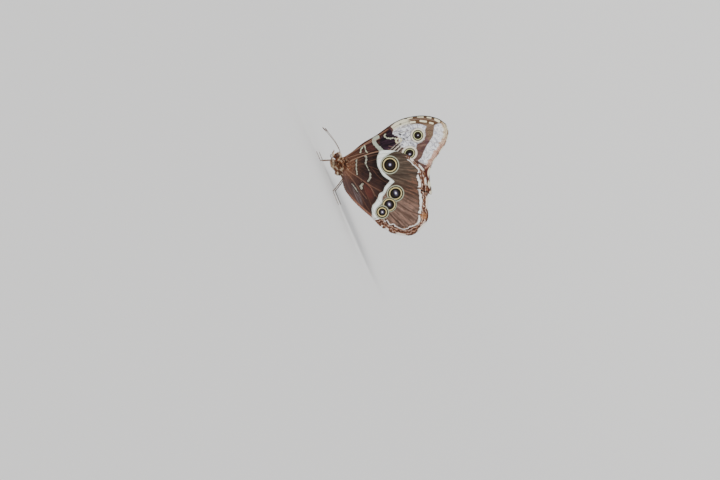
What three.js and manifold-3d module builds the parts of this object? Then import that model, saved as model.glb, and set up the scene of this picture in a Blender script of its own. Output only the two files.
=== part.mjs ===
// A morpho butterfly at rest, wings closed over its back, standing on the floor.
// Millimetres. The head points to -X, its left side to -Y, up is +Z.
// Lengths below are measured from the wing root, which is standHeight above the floor.
import * as THREE from "three";
import { mergeVertices } from "three/addons/utils/BufferGeometryUtils.js";
import Module from "manifold-3d";

const wasm = await Module();
wasm.setup();

// Driving sizes
const gap = 0.3;
const standHeight = 12.6;
const sides = [
  { name: "left", sign: -1 },
  { name: "right", sign: 1 },
];

const thoraxSize = {
  centre: [-0.2, 0, -2.3],
  radii: [5.3, 3.9, 4.7],
  squareness: 2.5,
  across: 26,
  down: 16,
};
const headSize = { centre: [-6.9, 0, -1.6], radii: [2.2, 2.0, 2.4], squareness: 2.2, across: 18, down: 12 };
const eyeSize = { centre: [-7.2, 1.45, -1.35], radii: [1.35, 1.0, 1.5], squareness: 2, across: 14, down: 10 };
const abdomenSize = {
  start: 3.6,
  length: 18.6,
  radius: 2.75,
  startHeight: -1.5,
  droop: -0.6,
  tipLength: 0.4,
  rings: 8,
  ringGroove: 0.94,
  sides: 16,
};

const membrane = 0.5;
const ridge = 0.2;
const ridgeHalfWidth = 0.5;
const crestStep = 4;
const rimStep = 3;
const fieldStep = 6.5;

// Room between the two wings of a side, from middle to middle
const wingPairSpacing = 1.25;
const closedHalfSpan = 0.75;
const rootSpread = 1.05;
const rootSpreadLength = 13;
const bowHeight = 0.5;
const wingLength = 74;
// The far forewing stands a little forward of the near one.
const farForewingTurn = THREE.MathUtils.degToRad(-0.8);

// Each wing as X and Z from the wing root: three edges, and the veins between them.
const forewing = {
  scallop: 0.45,
  edges: {
    costa: [[-4.4, -0.8], [-5.8, 7.5], [-8.4, 17], [-9.6, 26.7], [-12.6, 41.5], [-12.2, 50], [-8.6, 61.2],
      [-3.2, 68.4], [1.4, 71.2]],
    margin: [[1.4, 71.2], [5.2, 70.9], [9.2, 69], [13, 65], [17.2, 58.7], [21.8, 52.5], [28, 48.2],
      [39.6, 45.2]],
    inner: [[39.6, 45.2], [26, 29.5], [11, 13], [-0.4, -0.4]],
  },
  veins: {
    subcosta: [[-4, 0.5], [-6.5, 10], [-8, 22], [-11.3, 35.6]],
    radius: [[-3.6, 0.5], [-5.6, 8], [-6.9, 18], [-7, 28], [-6.8, 32.4]],
    radial1: [[-6.9, 22.5], [-9.2, 31.5], [-12.7, 43.9]],
    radial2: [[-7, 28.2], [-9.3, 39], [-12.2, 50.7]],
    radial3: [[-6.8, 32.4], [-8.1, 44], [-9.8, 58.2]],
    radial4: [[-8, 43], [-7.2, 52], [-4.2, 67.2]],
    radial5: [[-7.3, 51.5], [-3.9, 62], [1.4, 71.2]],
    medial1: [[-6.8, 32.4], [-3.2, 51.5], [6, 70.9]],
    medial2: [[-3.6, 32.7], [3.8, 50.4], [12.2, 66.1]],
    medial3: [[-0.8, 31.3], [6.3, 43], [17.2, 58.7]],
    cubital1: [[-0.4, 25.5], [12.3, 40.6], [21.8, 52.5]],
    cubital2: [[-1.5, 18.9], [13.3, 33.9], [29.6, 47.7]],
    cubitus: [[-3, 0.8], [-2.9, 9], [-1.5, 18.9], [-0.4, 25.5], [-0.8, 31.3]],
    cellEnd: [[-6.8, 32.4], [-3.6, 32.7], [-0.8, 31.3]],
    anal: [[-2.4, 0.6], [4.4, 12], [16, 27.2], [36.5, 45.9]],
  },
};

const hindwing = {
  scallop: 0.8,
  edges: {
    costa: [[0.8, -0.8], [-0.9, 4], [-1.1, 12], [-0.4, 21], [1.4, 28.4], [5.6, 36.2], [10.8, 41.5]],
    margin: [[10.8, 41.5], [16, 44], [21, 46.8], [28, 46.2], [35.8, 44.2], [46.9, 39.8], [54.2, 36],
      [58, 29.5], [58.2, 20.5], [54, 13.6], [45.8, 6.5]],
    inner: [[45.8, 6.5], [38.4, 3.6], [30.5, -0.3], [23, -3.4], [15, -5.4], [8.5, -4.5], [3.4, -2.6]],
  },
  veins: {
    humeral: [[1.4, 3], [-0.9, 6.4]],
    subcosta: [[1.6, 1], [0.9, 14.5], [3.4, 27.6], [10.8, 41.5]],
    radius: [[2.4, 0.8], [3.6, 7], [4.3, 18], [6.3, 29.8], [10.6, 38.5], [16, 44]],
    medial1: [[4, 11], [8.5, 16.5], [17.6, 26.5], [21.8, 37.5], [25.5, 46.7]],
    medial2: [[7.6, 15.4], [18.4, 19.4], [27.4, 29], [34.8, 44.5]],
    medial3: [[15.1, 8.2], [20.2, 12.2], [26.1, 17], [32.7, 20.7], [44, 28.3], [51.7, 37.6]],
    cubital1: [[2.6, -0.3], [8.8, 4.2], [15.1, 8.2], [19.9, 10.5], [28.3, 12], [36.6, 14.3], [47.6, 18.4],
      [58.2, 23.9]],
    cubital2: [[12.4, 6.6], [27, 6.6], [38, 6.9], [51.5, 11.4]],
    anal1: [[3.2, -1.2], [15.6, 2.4], [30, 3.4], [47.4, 7.9]],
    anal2: [[3.4, -1.8], [14, -2.4], [24, -1.4], [33, 0.9]],
  },
};

// The middle of a foot is low enough for the floor to cut its round section to a flat underside.
const tarsusHeight = 0.24 - standHeight;
const legClearance = 0.1;

// Where each joint of a leg lies, Y away from the body, and the radius there
const legs = {
  mid: {
    joints: [[-1.2, 1.4, -4.6], [-5.2, 8.6, -4.2], [-8.2, 11.4, tarsusHeight], [-14.6, 14.4, tarsusHeight]],
    radii: [0.75, 0.5, 0.42, 0.37],
  },
  hind: {
    joints: [[2.6, 1.4, -4.6], [8.2, 9.6, -3.6], [13.2, 11.8, tarsusHeight], [23, 13.4, tarsusHeight]],
    radii: [0.75, 0.5, 0.42, 0.37],
  },
};
const legParts = ["femur", "tibia", "tarsus"];
const legSwelling = { femur: 0.25, tibia: 0.06, tarsus: 0.06 };

const foreleg = {
  path: [[-3.6, 1.5, -4.6], [-5.4, 1.9, -5.6], [-6.4, 2, -6.2], [-5.2, 2.1, -6.9], [-2.6, 2.2, -7.6]],
  radius: 0.55,
};
const palp = {
  path: [[-6, 0.75, -3.3], [-8, 0.85, -4.1], [-9.8, 0.95, -3.6], [-11, 0.95, -2.5]],
  radius: 0.62,
};
const antenna = {
  path: [[-7.6, 0.8, 0.2], [-9.2, 1.6, 0.9], [-14.8, 5, 0.6], [-21, 9.2, -0.9], [-27.4, 13.4, -2.9]],
  radius: 0.26,
  clubRadius: 0.42,
};
const proboscis = { centre: [-8.6, -4.9], outer: 1.55, pitch: 0.78, turns: 1.6, radius: 0.25 };

// Colours and finishes
const finish = (color, roughness) => new THREE.MeshStandardMaterial({ color, roughness, metalness: 0 });
const materials = {
  fur: finish(0x6d4a3a, 0.95),
  eye: finish(0x2a1712, 0.25),
  horn: finish(0x4a3226, 0.6),
  wing: finish(0x5c4238, 0.8),
};

// Geometry to solid and back
function toSolid(geometry) {
  const bare = new THREE.BufferGeometry().setAttribute("position", geometry.getAttribute("position"));
  if (geometry.index) bare.setIndex(geometry.index);
  const merged = mergeVertices(bare, 1e-4);
  return new wasm.Manifold(
    new wasm.Mesh({
      numProp: 3,
      vertProperties: Float32Array.from(merged.attributes.position.array),
      triVerts: Uint32Array.from(merged.index.array),
    }),
  );
}

function toGeometry(solid) {
  const largest = solid.decompose().reduce((best, piece) => (piece.volume() > best.volume() ? piece : best));
  const mesh = largest.getMesh();
  return new THREE.BufferGeometry()
    .setAttribute("position", new THREE.BufferAttribute(Float32Array.from(mesh.vertProperties), 3))
    .setIndex(new THREE.BufferAttribute(Uint32Array.from(mesh.triVerts), 1));
}

const cut = (geometry, ...tools) =>
  toGeometry(tools.reduce((solid, tool) => solid.subtract(toSolid(tool)), toSolid(geometry)));

// A rounded body: a sphere pressed towards a box by its squareness, its poles on the X axis
function blob({ centre, radii, squareness, across, down }, grow = 0) {
  const geometry = new THREE.SphereGeometry(1, across, down).rotateZ(Math.PI / 2);
  const place = geometry.attributes.position;
  for (let i = 0; i < place.count; i++) {
    const way = [place.getX(i), place.getY(i), place.getZ(i)];
    const reach = way.reduce((sum, w) => sum + Math.abs(w) ** squareness, 0) ** (-1 / squareness);
    place.setXYZ(i, ...way.map((w, axis) => centre[axis] + w * reach * (radii[axis] + grow)));
  }
  return geometry;
}

function smooth(points) {
  const corners = points.map((p) => new THREE.Vector3(...p));
  return new THREE.CatmullRomCurve3(corners, false, "centripetal");
}

// A closed tube along a smooth path, its radius a function of the share of the way along
function tube(points, radiusAt, around, steps) {
  const curve = smooth(points);
  const { tangents, normals } = curve.computeFrenetFrames(steps, false);
  const geometry = new THREE.CylinderGeometry(1, 1, 1, around, steps);
  const place = geometry.attributes.position;
  for (let i = 0; i < place.count; i++) {
    const share = place.getY(i) + 0.5;
    const ring = Math.round(share * steps);
    const across = new THREE.Vector3().crossVectors(normals[ring], tangents[ring]);
    const at = curve.getPointAt(share);
    at.addScaledVector(normals[ring], place.getX(i) * radiusAt(share));
    at.addScaledVector(across, place.getZ(i) * radiusAt(share));
    place.setXYZ(i, at.x, at.y, at.z);
  }
  return geometry;
}

// One straight leg part, its ends cut on the slant of the joints so that neighbours meet face to face
function legPart(from, to, swelling, lowest) {
  const way = new THREE.Vector3().subVectors(to.at, from.at);
  const length = way.length();
  way.normalize();
  const turn = new THREE.Quaternion().setFromUnitVectors(new THREE.Vector3(0, 1, 0), way);
  const geometry = new THREE.CylinderGeometry(1, 1, 1, 8, 4);
  const place = geometry.attributes.position;
  for (let i = 0; i < place.count; i++) {
    const share = place.getY(i) + 0.5;
    const radius = THREE.MathUtils.lerp(from.radius, to.radius, share) + swelling * Math.sin(Math.PI * share);
    const out = new THREE.Vector3(place.getX(i) * radius, 0, place.getZ(i) * radius).applyQuaternion(turn);
    const start = (gap / 2 - from.slant.dot(out)) / from.slant.dot(way);
    const end = length - (gap / 2 + to.slant.dot(out)) / to.slant.dot(way);
    const at = from.at.clone().addScaledVector(way, THREE.MathUtils.lerp(start, end, share)).add(out);
    place.setXYZ(i, at.x, at.y, Math.max(at.z, lowest));
  }
  return geometry;
}

// The plan of a wing in its own plane
const planCurve = (points) => smooth(points.map(([x, z]) => [x, z, 0]));
const flat = ({ x, y }) => [x, y];
const distance = ([ax, az], [bx, bz]) => Math.hypot(ax - bx, az - bz);

function nearestShare(curve, point) {
  const count = 400;
  let best = { share: 0, away: Infinity };
  for (let i = 0; i <= count; i++) {
    const away = distance(flat(curve.getPointAt(i / count)), point);
    if (away < best.away) best = { share: i / count, away };
  }
  return best;
}

function distanceToPath([px, pz], path) {
  let best = Infinity;
  for (let i = 1; i < path.length; i++) {
    const [ax, az] = path[i - 1];
    const [dx, dz] = [path[i][0] - ax, path[i][1] - az];
    const along = THREE.MathUtils.clamp(((px - ax) * dx + (pz - az) * dz) / (dx * dx + dz * dz), 0, 1);
    best = Math.min(best, Math.hypot(px - ax - along * dx, pz - az - along * dz));
  }
  return best;
}

function insideLoop([px, pz], loop) {
  let inside = false;
  loop.forEach(([ax, az], i) => {
    const [bx, bz] = loop[(i + 1) % loop.length];
    if (az > pz !== bz > pz && px < ax + ((pz - az) * (bx - ax)) / (bz - az)) inside = !inside;
  });
  return inside;
}

// The rim, with a shallow bay between each two veins that reach the outer margin
function wingPlan({ edges, veins, scallop }) {
  const snapRange = 1.6;
  const curves = Object.fromEntries(Object.entries(edges).map(([name, points]) => [name, planCurve(points)]));
  const stations = Object.fromEntries(Object.keys(edges).map((name) => [name, [0, 1]]));
  const paths = Object.values(veins).map((points) => {
    const end = points.at(-1);
    const [edge, near] = Object.entries(curves)
      .map(([name, curve]) => [name, nearestShare(curve, end)])
      .reduce((a, b) => (b[1].away < a[1].away ? b : a));
    if (near.away > snapRange) return points;
    if (near.share > 0.01 && near.share < 0.99) stations[edge].push(near.share);
    return [...points.slice(0, -1), flat(curves[edge].getPointAt(near.share))];
  });
  const rim = [];
  for (const [name, curve] of Object.entries(curves)) {
    const stops = stations[name].sort((a, b) => a - b);
    const depth = name === "margin" ? scallop : 0;
    for (let i = 1; i < stops.length; i++) {
      const span = stops[i] - stops[i - 1];
      const steps = Math.max(1, Math.round((span * curve.getLength()) / rimStep));
      for (let k = 0; k < steps; k++) {
        const share = stops[i - 1] + (span * k) / steps;
        const at = curve.getPointAt(share);
        const along = curve.getTangentAt(share);
        const bay = depth * Math.sin((Math.PI * k) / steps);
        rim.push([at.x + along.y * bay, at.y - along.x * bay]);
      }
    }
  }
  return { rim, crests: paths.map((points) => planCurve(points)) };
}

// Delaunay triangles of points in a plane
function triangulate(points) {
  const far = 1e4;
  const all = [...points, [-far, -far], [far, -far], [0, far]];
  const n = points.length;
  let triangles = [circled([n, n + 1, n + 2])];
  function circled(corners) {
    const [[ax, ay], [bx, by], [cx, cy]] = corners.map((c) => all[c]);
    const d = 2 * (ax * (by - cy) + bx * (cy - ay) + cx * (ay - by));
    const [a2, b2, c2] = [ax * ax + ay * ay, bx * bx + by * by, cx * cx + cy * cy];
    const x = (a2 * (by - cy) + b2 * (cy - ay) + c2 * (ay - by)) / d;
    const y = (a2 * (cx - bx) + b2 * (ax - cx) + c2 * (bx - ax)) / d;
    return { corners: d < 0 ? corners.reverse() : corners, x, y, r2: (ax - x) ** 2 + (ay - y) ** 2 };
  }
  points.forEach(([px, py], index) => {
    const hole = new Map();
    triangles = triangles.filter((t) => {
      if ((px - t.x) ** 2 + (py - t.y) ** 2 > t.r2) return true;
      t.corners.forEach((a, i) => {
        const b = t.corners[(i + 1) % 3];
        if (!hole.delete(`${b},${a}`)) hole.set(`${a},${b}`, [a, b]);
      });
      return false;
    });
    for (const [a, b] of hole.values()) triangles.push(circled([a, b, index]));
  });
  return triangles.map((t) => t.corners).filter((corners) => corners.every((c) => c < n));
}

// Points of a wing: the rim, the vein crests, a foot on each side of every crest, and the open membrane
function wingPoints({ rim, crests }) {
  const points = [...rim];
  const dense = crests.map((curve) => curve.getSpacedPoints(Math.ceil(curve.getLength())).map(flat));
  const toRim = (p) => distanceToPath(p, [...rim, rim[0]]);
  const toVein = (p) => Math.min(...dense.map((path) => distanceToPath(p, path)));
  const add = (p, apart, rimApart) => {
    if (!insideLoop(p, rim) || toRim(p) < rimApart) return;
    if (points.every((q) => distance(p, q) > apart)) points.push(p);
  };
  const stations = crests.flatMap((curve) => {
    const steps = Math.max(2, Math.round(curve.getLength() / crestStep));
    return Array.from({ length: steps + 1 }, (_, i) => ({
      at: curve.getPointAt(i / steps),
      along: curve.getTangentAt(i / steps),
    }));
  });
  for (const { at } of stations) add(flat(at), 0.7, 0.7);
  for (const { at, along } of stations) {
    for (const side of [-1, 1]) {
      const foot = [at.x - side * along.y * ridgeHalfWidth, at.y + side * along.x * ridgeHalfWidth];
      if (toVein(foot) > ridgeHalfWidth * 0.9) add(foot, 0.45, 0.5);
    }
  }
  const [xs, zs] = [0, 1].map((axis) => rim.map((p) => p[axis]));
  for (let row = 0, z = Math.min(...zs); z < Math.max(...zs); row++, z += fieldStep * 0.87) {
    for (let x = Math.min(...xs) + (row % 2) * fieldStep * 0.5; x < Math.max(...xs); x += fieldStep) {
      if (toVein([x, z]) > fieldStep * 0.4) add([x, z], fieldStep * 0.4, fieldStep * 0.3);
    }
  }
  return { points, toVein };
}

// How far the middle of a wing lies from the body's middle plane
const forewingOut = ([x, z]) => {
  const reach = Math.hypot(x + 2, z - 0.5);
  const bow = bowHeight * Math.sin(Math.PI * Math.min(1, reach / wingLength));
  return closedHalfSpan + rootSpread * Math.exp(-reach / rootSpreadLength) + bow;
};
// The hindwings bulge outward beside the abdomen.
const bellyRoom = { depth: 1.05, height: -2, spread: 4.4, from: 1, full: 6, until: 25, gone: 36 };
const hindwingOut = ([x, z]) => {
  const { depth, height, spread, from, full, until, gone } = bellyRoom;
  const { smoothstep } = THREE.MathUtils;
  const lengthwise = smoothstep(x, from, full) * (1 - smoothstep(x, until, gone));
  const upright = Math.exp(-(((z - height) / spread) ** 2));
  return forewingOut([x, z]) + wingPairSpacing + depth * lengthwise * upright;
};

// Both faces of a wing share one set of triangles, so that they keep their distance
function wing(plan, outAt, sign, turn = 0) {
  const rimPlan = wingPlan(plan);
  const { points, toVein } = wingPoints(rimPlan);
  const { rim } = rimPlan;
  const triangles = triangulate(points).filter((corners) => {
    const middle = [0, 1].map((axis) => corners.reduce((sum, c) => sum + points[c][axis], 0) / 3);
    return insideLoop(middle, rim);
  });
  const half = points.map((p) => membrane / 2 + ridge * Math.max(0, 1 - toVein(p) / ridgeHalfWidth));
  const face = (side) => points.map((p, i) => [p[0], sign * (outAt(p) + side * half[i]), p[1]]);
  const n = points.length;
  const faces = [];
  for (const [a, b, c] of triangles) faces.push(a, b, c, a + n, c + n, b + n);
  const edges = new Set(triangles.flatMap(([a, b, c]) => [`${a},${b}`, `${b},${c}`, `${c},${a}`]));
  for (const edge of edges) {
    const [a, b] = edge.split(",").map(Number);
    if (edges.has(`${b},${a}`)) continue;
    faces.push(b, a, a + n, b, a + n, b + n);
  }
  // The first face of the list looks away from +Y on the left and towards it on the right.
  const [first, second] = sign < 0 ? [face(1), face(-1)] : [face(-1), face(1)];
  const geometry = new THREE.BufferGeometry()
    .setAttribute("position", new THREE.Float32BufferAttribute([...first, ...second].flat(), 3))
    .setIndex(faces);
  if (turn) geometry.rotateY(turn);
  return geometry;
}

// The abdomen: a turned profile of soft rings, laid along X
function abdomen(grow = 0) {
  const { start, length, radius, startHeight, droop, tipLength, rings, ringGroove, sides: around } =
    abdomenSize;
  const stepsPerRing = 3;
  const steps = rings * stepsPerRing;
  const profile = [new THREE.Vector2(0, 0)];
  for (let i = 0; i <= steps; i++) {
    const share = i / steps;
    const body = Math.sin(Math.PI * (0.24 + 0.7 * share)) ** 0.75;
    const groove = i % stepsPerRing === 0 ? ringGroove : 1;
    profile.push(new THREE.Vector2(radius * body * groove + grow, 0.02 + share * length));
  }
  profile.push(new THREE.Vector2(0, length + tipLength + grow));
  const geometry = new THREE.LatheGeometry(profile, around);
  const place = geometry.attributes.position;
  for (let i = 0; i < place.count; i++) {
    const [x, along, z] = [place.getX(i), place.getY(i), place.getZ(i)];
    place.setXYZ(i, start + along, z, startHeight + (droop * along) / length + x);
  }
  return geometry;
}

const mirrored = (points, sign) => points.map(([x, y, z]) => [x, y * sign, z]);

// Assembly
const butterfly = new THREE.Group();
const add = (name, geometry, material) => {
  const mesh = new THREE.Mesh(geometry, material);
  mesh.name = name;
  butterfly.add(mesh);
};

const thorax = blob(thoraxSize);
const thoraxRoom = blob(thoraxSize, gap);
const headRoom = blob(headSize, gap);
add("thorax", thorax, materials.fur);
add("abdomen", cut(abdomen(), thoraxRoom), materials.fur);

const eyes = sides.map(({ sign }) => ({ ...eyeSize, centre: mirrored([eyeSize.centre], sign)[0] }));
const eyeRoom = eyes.map((eye) => blob(eye, gap));
add("head", cut(blob(headSize), thoraxRoom, ...eyeRoom), materials.fur);

sides.forEach(({ name, sign }, index) => {
  const { smoothstep } = THREE.MathUtils;
  const tipTaper = (share) => 1 - 0.55 * Math.max(0, share - 0.6) / 0.4;
  const palpShape = (share) => palp.radius * (0.7 + 0.5 * Math.sin(Math.PI * share)) * tipTaper(share);
  const clubbed = (share) => {
    const club = smoothstep(share, 0.8, 0.93) - 0.6 * smoothstep(share, 0.95, 1);
    return antenna.radius + (antenna.clubRadius - antenna.radius) * club;
  };
  add(`eye_${name}`, blob(eyes[index]), materials.eye);
  add(`palp_${name}`, cut(tube(mirrored(palp.path, sign), palpShape, 8, 8), headRoom), materials.fur);
  add(`antenna_${name}`, cut(tube(mirrored(antenna.path, sign), clubbed, 6, 20), headRoom), materials.horn);

  const forelegShape = (share) => foreleg.radius * tipTaper(share);
  const forelegTube = tube(mirrored(foreleg.path, sign), forelegShape, 8, 9);
  add(`foreleg_${name}`, cut(forelegTube, thoraxRoom), materials.fur);

  for (const [place, { joints, radii }] of Object.entries(legs)) {
    const points = mirrored(joints, sign).map((p) => new THREE.Vector3(...p));
    const ways = legParts.map((_, i) => new THREE.Vector3().subVectors(points[i + 1], points[i]).normalize());
    const slants = [ways[0], ...ways.slice(1).map((w, i) => w.clone().add(ways[i]).normalize()), ways[2]];
    legParts.forEach((part, i) => {
      const start = { at: points[i], radius: radii[i], slant: slants[i] };
      const end = { at: points[i + 1], radius: radii[i + 1], slant: slants[i + 1] };
      const lowest = (part === "tarsus" ? 0 : legClearance) - standHeight;
      const shape = legPart(start, end, legSwelling[part], lowest);
      const nodeName = `leg_${place}_${part}_${name}`;
      if (part === "femur") add(nodeName, cut(shape, thoraxRoom), materials.fur);
      else add(nodeName, shape, materials.horn);
    });
  }

  const turn = name === "right" ? farForewingTurn : 0;
  add(`forewing_${name}`, cut(wing(forewing, forewingOut, sign, turn), thoraxRoom), materials.wing);
  add(`hindwing_${name}`, cut(wing(hindwing, hindwingOut, sign), thoraxRoom), materials.wing);
});

// The coiled tongue lies upright under the head, in the middle plane.
const coil = Array.from({ length: 25 }, (_, i) => {
  const share = i / 24;
  const angle = Math.PI * 0.55 - share * proboscis.turns * 2 * Math.PI;
  const reach = proboscis.outer - share * proboscis.turns * proboscis.pitch;
  return [proboscis.centre[0] + reach * Math.cos(angle), 0, proboscis.centre[1] + reach * Math.sin(angle)];
});
add("proboscis", cut(tube(coil, () => proboscis.radius, 6, 30), headRoom), materials.horn);

// The origin is under the middle of the whole, at floor level.
const box = new THREE.Box3().setFromObject(butterfly);
const middle = box.getCenter(new THREE.Vector3());
butterfly.position.set(-middle.x, -middle.y, standHeight);

export default butterfly;
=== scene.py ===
import math
import bpy
import numpy as np
from mathutils import Matrix, Vector
from mathutils.geometry import delaunay_2d_cdt


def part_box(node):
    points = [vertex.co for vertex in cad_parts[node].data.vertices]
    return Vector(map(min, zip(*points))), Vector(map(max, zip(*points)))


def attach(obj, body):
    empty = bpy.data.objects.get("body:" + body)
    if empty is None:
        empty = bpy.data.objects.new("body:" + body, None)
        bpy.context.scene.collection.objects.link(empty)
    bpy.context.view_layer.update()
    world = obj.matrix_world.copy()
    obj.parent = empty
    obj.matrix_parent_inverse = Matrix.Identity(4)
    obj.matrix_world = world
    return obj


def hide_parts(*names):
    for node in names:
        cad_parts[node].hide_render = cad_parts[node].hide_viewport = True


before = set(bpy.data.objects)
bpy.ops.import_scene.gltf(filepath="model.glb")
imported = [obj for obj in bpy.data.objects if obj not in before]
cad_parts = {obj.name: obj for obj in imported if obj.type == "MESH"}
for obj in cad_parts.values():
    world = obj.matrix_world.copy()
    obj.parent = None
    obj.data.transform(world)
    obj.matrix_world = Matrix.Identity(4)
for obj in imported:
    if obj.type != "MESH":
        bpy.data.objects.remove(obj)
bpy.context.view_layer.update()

mm = 0.001
bothSides = (("Left", -1), ("Right", 1))

# The wing root, from which every size below is measured in millimetres, as the frame places it.
thoraxPlan = {"centre": (-0.2, 0, -2.3), "radii": (5.3, 3.9, 4.7), "squareness": 2.5}
thoraxLow, thoraxHigh = (np.array(corner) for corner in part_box("thorax"))
wingRoot = (thoraxLow + thoraxHigh) / 2 - np.array(thoraxPlan["centre"]) * mm
floorLevel = -wingRoot[2] / mm


def placeObject(name, data):
    thing = bpy.data.objects.new(name, data)
    bpy.context.collection.objects.link(thing)
    return thing


# Camera: turned so that the body's up points to the picture's right, and above the floor.
# Lift and roll are in degrees and away is in metres. A pixel shows so many millimetres at the wing root.
cameraPlan = {
    "lift": 3.0, "roll": 22.4, "away": 1.6, "sensor": 36, "clip": (0.05, 30),
    "pixel": 0.65, "rootAt": (344, 165), "frame": (720, 480),
}


def setCamera():
    width, height = cameraPlan["frame"]
    roll, lift = (math.radians(cameraPlan[key]) for key in ("roll", "lift"))
    back = Vector((0, -math.cos(lift), math.sin(lift)))
    upright = Vector((0, math.sin(lift), math.cos(lift)))
    right = Vector((1, 0, 0)) * math.sin(roll) + upright * math.cos(roll)
    up = back.cross(right)
    aside = (width / 2 - cameraPlan["rootAt"][0]) * cameraPlan["pixel"] * mm
    above = (cameraPlan["rootAt"][1] - height / 2) * cameraPlan["pixel"] * mm
    data = bpy.data.cameras.new("camera")
    data.sensor_width = cameraPlan["sensor"]
    data.lens = cameraPlan["sensor"] * cameraPlan["away"] / (width * cameraPlan["pixel"] * mm)
    data.clip_start, data.clip_end = cameraPlan["clip"]
    camera = placeObject("camera", data)
    camera.matrix_world = Matrix((right, up, back)).transposed().to_4x4()
    camera.location = Vector(wingRoot) + right * aside + up * above + back * cameraPlan["away"]
    bpy.context.scene.camera = camera


setCamera()
print("camera set")


# Shader values that read as sums and products
class Value:
    def __init__(self, finish, socket):
        self.finish, self.socket = finish, socket

    def __add__(self, other):
        return self.finish.maths("ADD", self, other)

    __radd__ = __add__

    def __sub__(self, other):
        return self.finish.maths("SUBTRACT", self, other)

    def __rsub__(self, other):
        return self.finish.maths("SUBTRACT", other, self)

    def __mul__(self, other):
        return self.finish.maths("MULTIPLY", self, other)

    __rmul__ = __mul__


# A display colour, from 0 to 255, as linear light
def tone(red, green, blue):
    linear = []
    for level in (red, green, blue):
        linear.append(level / 255 / 12.92 if level <= 10 else ((level / 255 + 0.055) / 1.055) ** 2.4)
    return (*linear, 1)


class Finish:
    def __init__(self, name):
        self.material = bpy.data.materials.new(name)
        self.material.use_nodes = True
        self.tree = self.material.node_tree
        self.surface = self.tree.nodes["Principled BSDF"]

    def node(self, kind, settings=None, **values):
        made = self.tree.nodes.new(kind)
        for key, value in (settings or {}).items():
            setattr(made, key, value)
        for key, value in values.items():
            self.put(made.inputs[int(key[1:])] if key[1:].isdigit() else made.inputs[key], value)
        return made

    def put(self, socket, value):
        if isinstance(value, Value):
            self.tree.links.new(value.socket, socket)
        else:
            socket.default_value = value

    def maths(self, operation, *values):
        made = self.tree.nodes.new("ShaderNodeMath")
        made.operation = operation
        for socket, value in zip(made.inputs, values):
            self.put(socket, value)
        return Value(self, made.outputs[0])

    def attribute(self, name, output="Fac"):
        return Value(self, self.node("ShaderNodeAttribute", {"attribute_name": name}).outputs[output])

    def vector(self, x, y, z=0.0):
        return Value(self, self.node("ShaderNodeCombineXYZ", None, X=x, Y=y, Z=z).outputs[0])

    def place(self):
        return Value(self, self.node("ShaderNodeTexCoord").outputs["Object"])

    def parts(self, vector):
        made = self.node("ShaderNodeSeparateXYZ", None, Vector=vector)
        return [Value(self, made.outputs[i]) for i in range(3)]

    def distance(self, across, along):
        return self.maths("SQRT", across * across + along * along)

    def noise(self, vector, scale=1.0, detail=2.0, roughness=0.5):
        values = {"Vector": vector, "Scale": scale, "Detail": detail, "Roughness": roughness}
        return Value(self, self.node("ShaderNodeTexNoise", None, **values).outputs[0])

    def cells(self, vector, scale):
        made = self.node("ShaderNodeTexVoronoi", {"feature": "F1"}, Vector=vector, Scale=scale)
        return Value(self, made.outputs["Distance"])

    def rise(self, value, low, high):
        settings = {"interpolation_type": "SMOOTHSTEP"}
        made = self.node("ShaderNodeMapRange", settings, i0=value, i1=low, i2=high)
        return Value(self, made.outputs[0])

    def hill(self, value, middle, half, soft):
        return self.rise(value, middle - half - soft, middle - half + soft) * (
            1 - self.rise(value, middle + half - soft, middle + half + soft)
        )

    def blend(self, factor, first, second, kind="MIX"):
        settings = {"data_type": "RGBA", "blend_type": kind, "clamp_factor": True}
        made = self.node("ShaderNodeMix", settings, i0=factor, i6=first, i7=second)
        return Value(self, made.outputs[2])

    # Tones laid over a colour in turn, each through its own mask
    def over(self, colour, *layers):
        for mask, levels in layers:
            colour = self.blend(mask, colour, tone(*levels))
        return colour

    def bump(self, height, strength, distance):
        made = self.node("ShaderNodeBump", None, Strength=strength, Distance=distance, Height=height)
        return Value(self, made.outputs[0])

    def done(self, colour, roughness=0.8, normal=None, metallic=None, **fixed):
        self.put(self.surface.inputs["Base Color"], colour)
        self.put(self.surface.inputs["Roughness"], roughness)
        if normal is not None:
            self.put(self.surface.inputs["Normal"], normal)
        if metallic is not None:
            self.put(self.surface.inputs["Metallic"], metallic)
        for key, value in fixed.items():
            self.surface.inputs[key.replace("_", " ")].default_value = value
        return self.material


def unit(vectors):
    return vectors / np.maximum(np.linalg.norm(vectors, axis=1), 1e-9)[:, None]


# Lines in the plane of a wing, or in space
def smoothLine(points, perSpan=48):
    points = np.array(points, float)
    ends = np.vstack([2 * points[0] - points[1], points, 2 * points[-1] - points[-2]])
    t = np.linspace(0, 1, perSpan, endpoint=False)[:, None]
    line = []
    for i in range(1, len(ends) - 2):
        a, b, c, d = ends[i - 1 : i + 3]
        before, here, after = (np.sqrt(np.linalg.norm(q - p)) for p, q in ((a, b), (b, c), (c, d)))
        leave = ((b - a) / before - (c - a) / (before + here) + (c - b) / here) * here
        arrive = ((c - b) / here - (d - b) / (here + after) + (d - c) / after) * here
        square, cube = 3 * (c - b) - 2 * leave - arrive, 2 * (b - c) + leave + arrive
        line.append(b + leave * t + square * t**2 + cube * t**3)
    return np.vstack([*line, points[-1:]])


def runLengths(line):
    return np.concatenate([[0], np.cumsum(np.linalg.norm(np.diff(line, axis=0), axis=1))])


def atLengths(line, wanted):
    lengths = runLengths(line)
    return np.column_stack([np.interp(wanted, lengths, line[:, k]) for k in range(line.shape[1])])


def evenly(line, step):
    total = runLengths(line)[-1]
    return atLengths(line, np.linspace(0, total, max(2, int(round(total / step)) + 1)))


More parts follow.
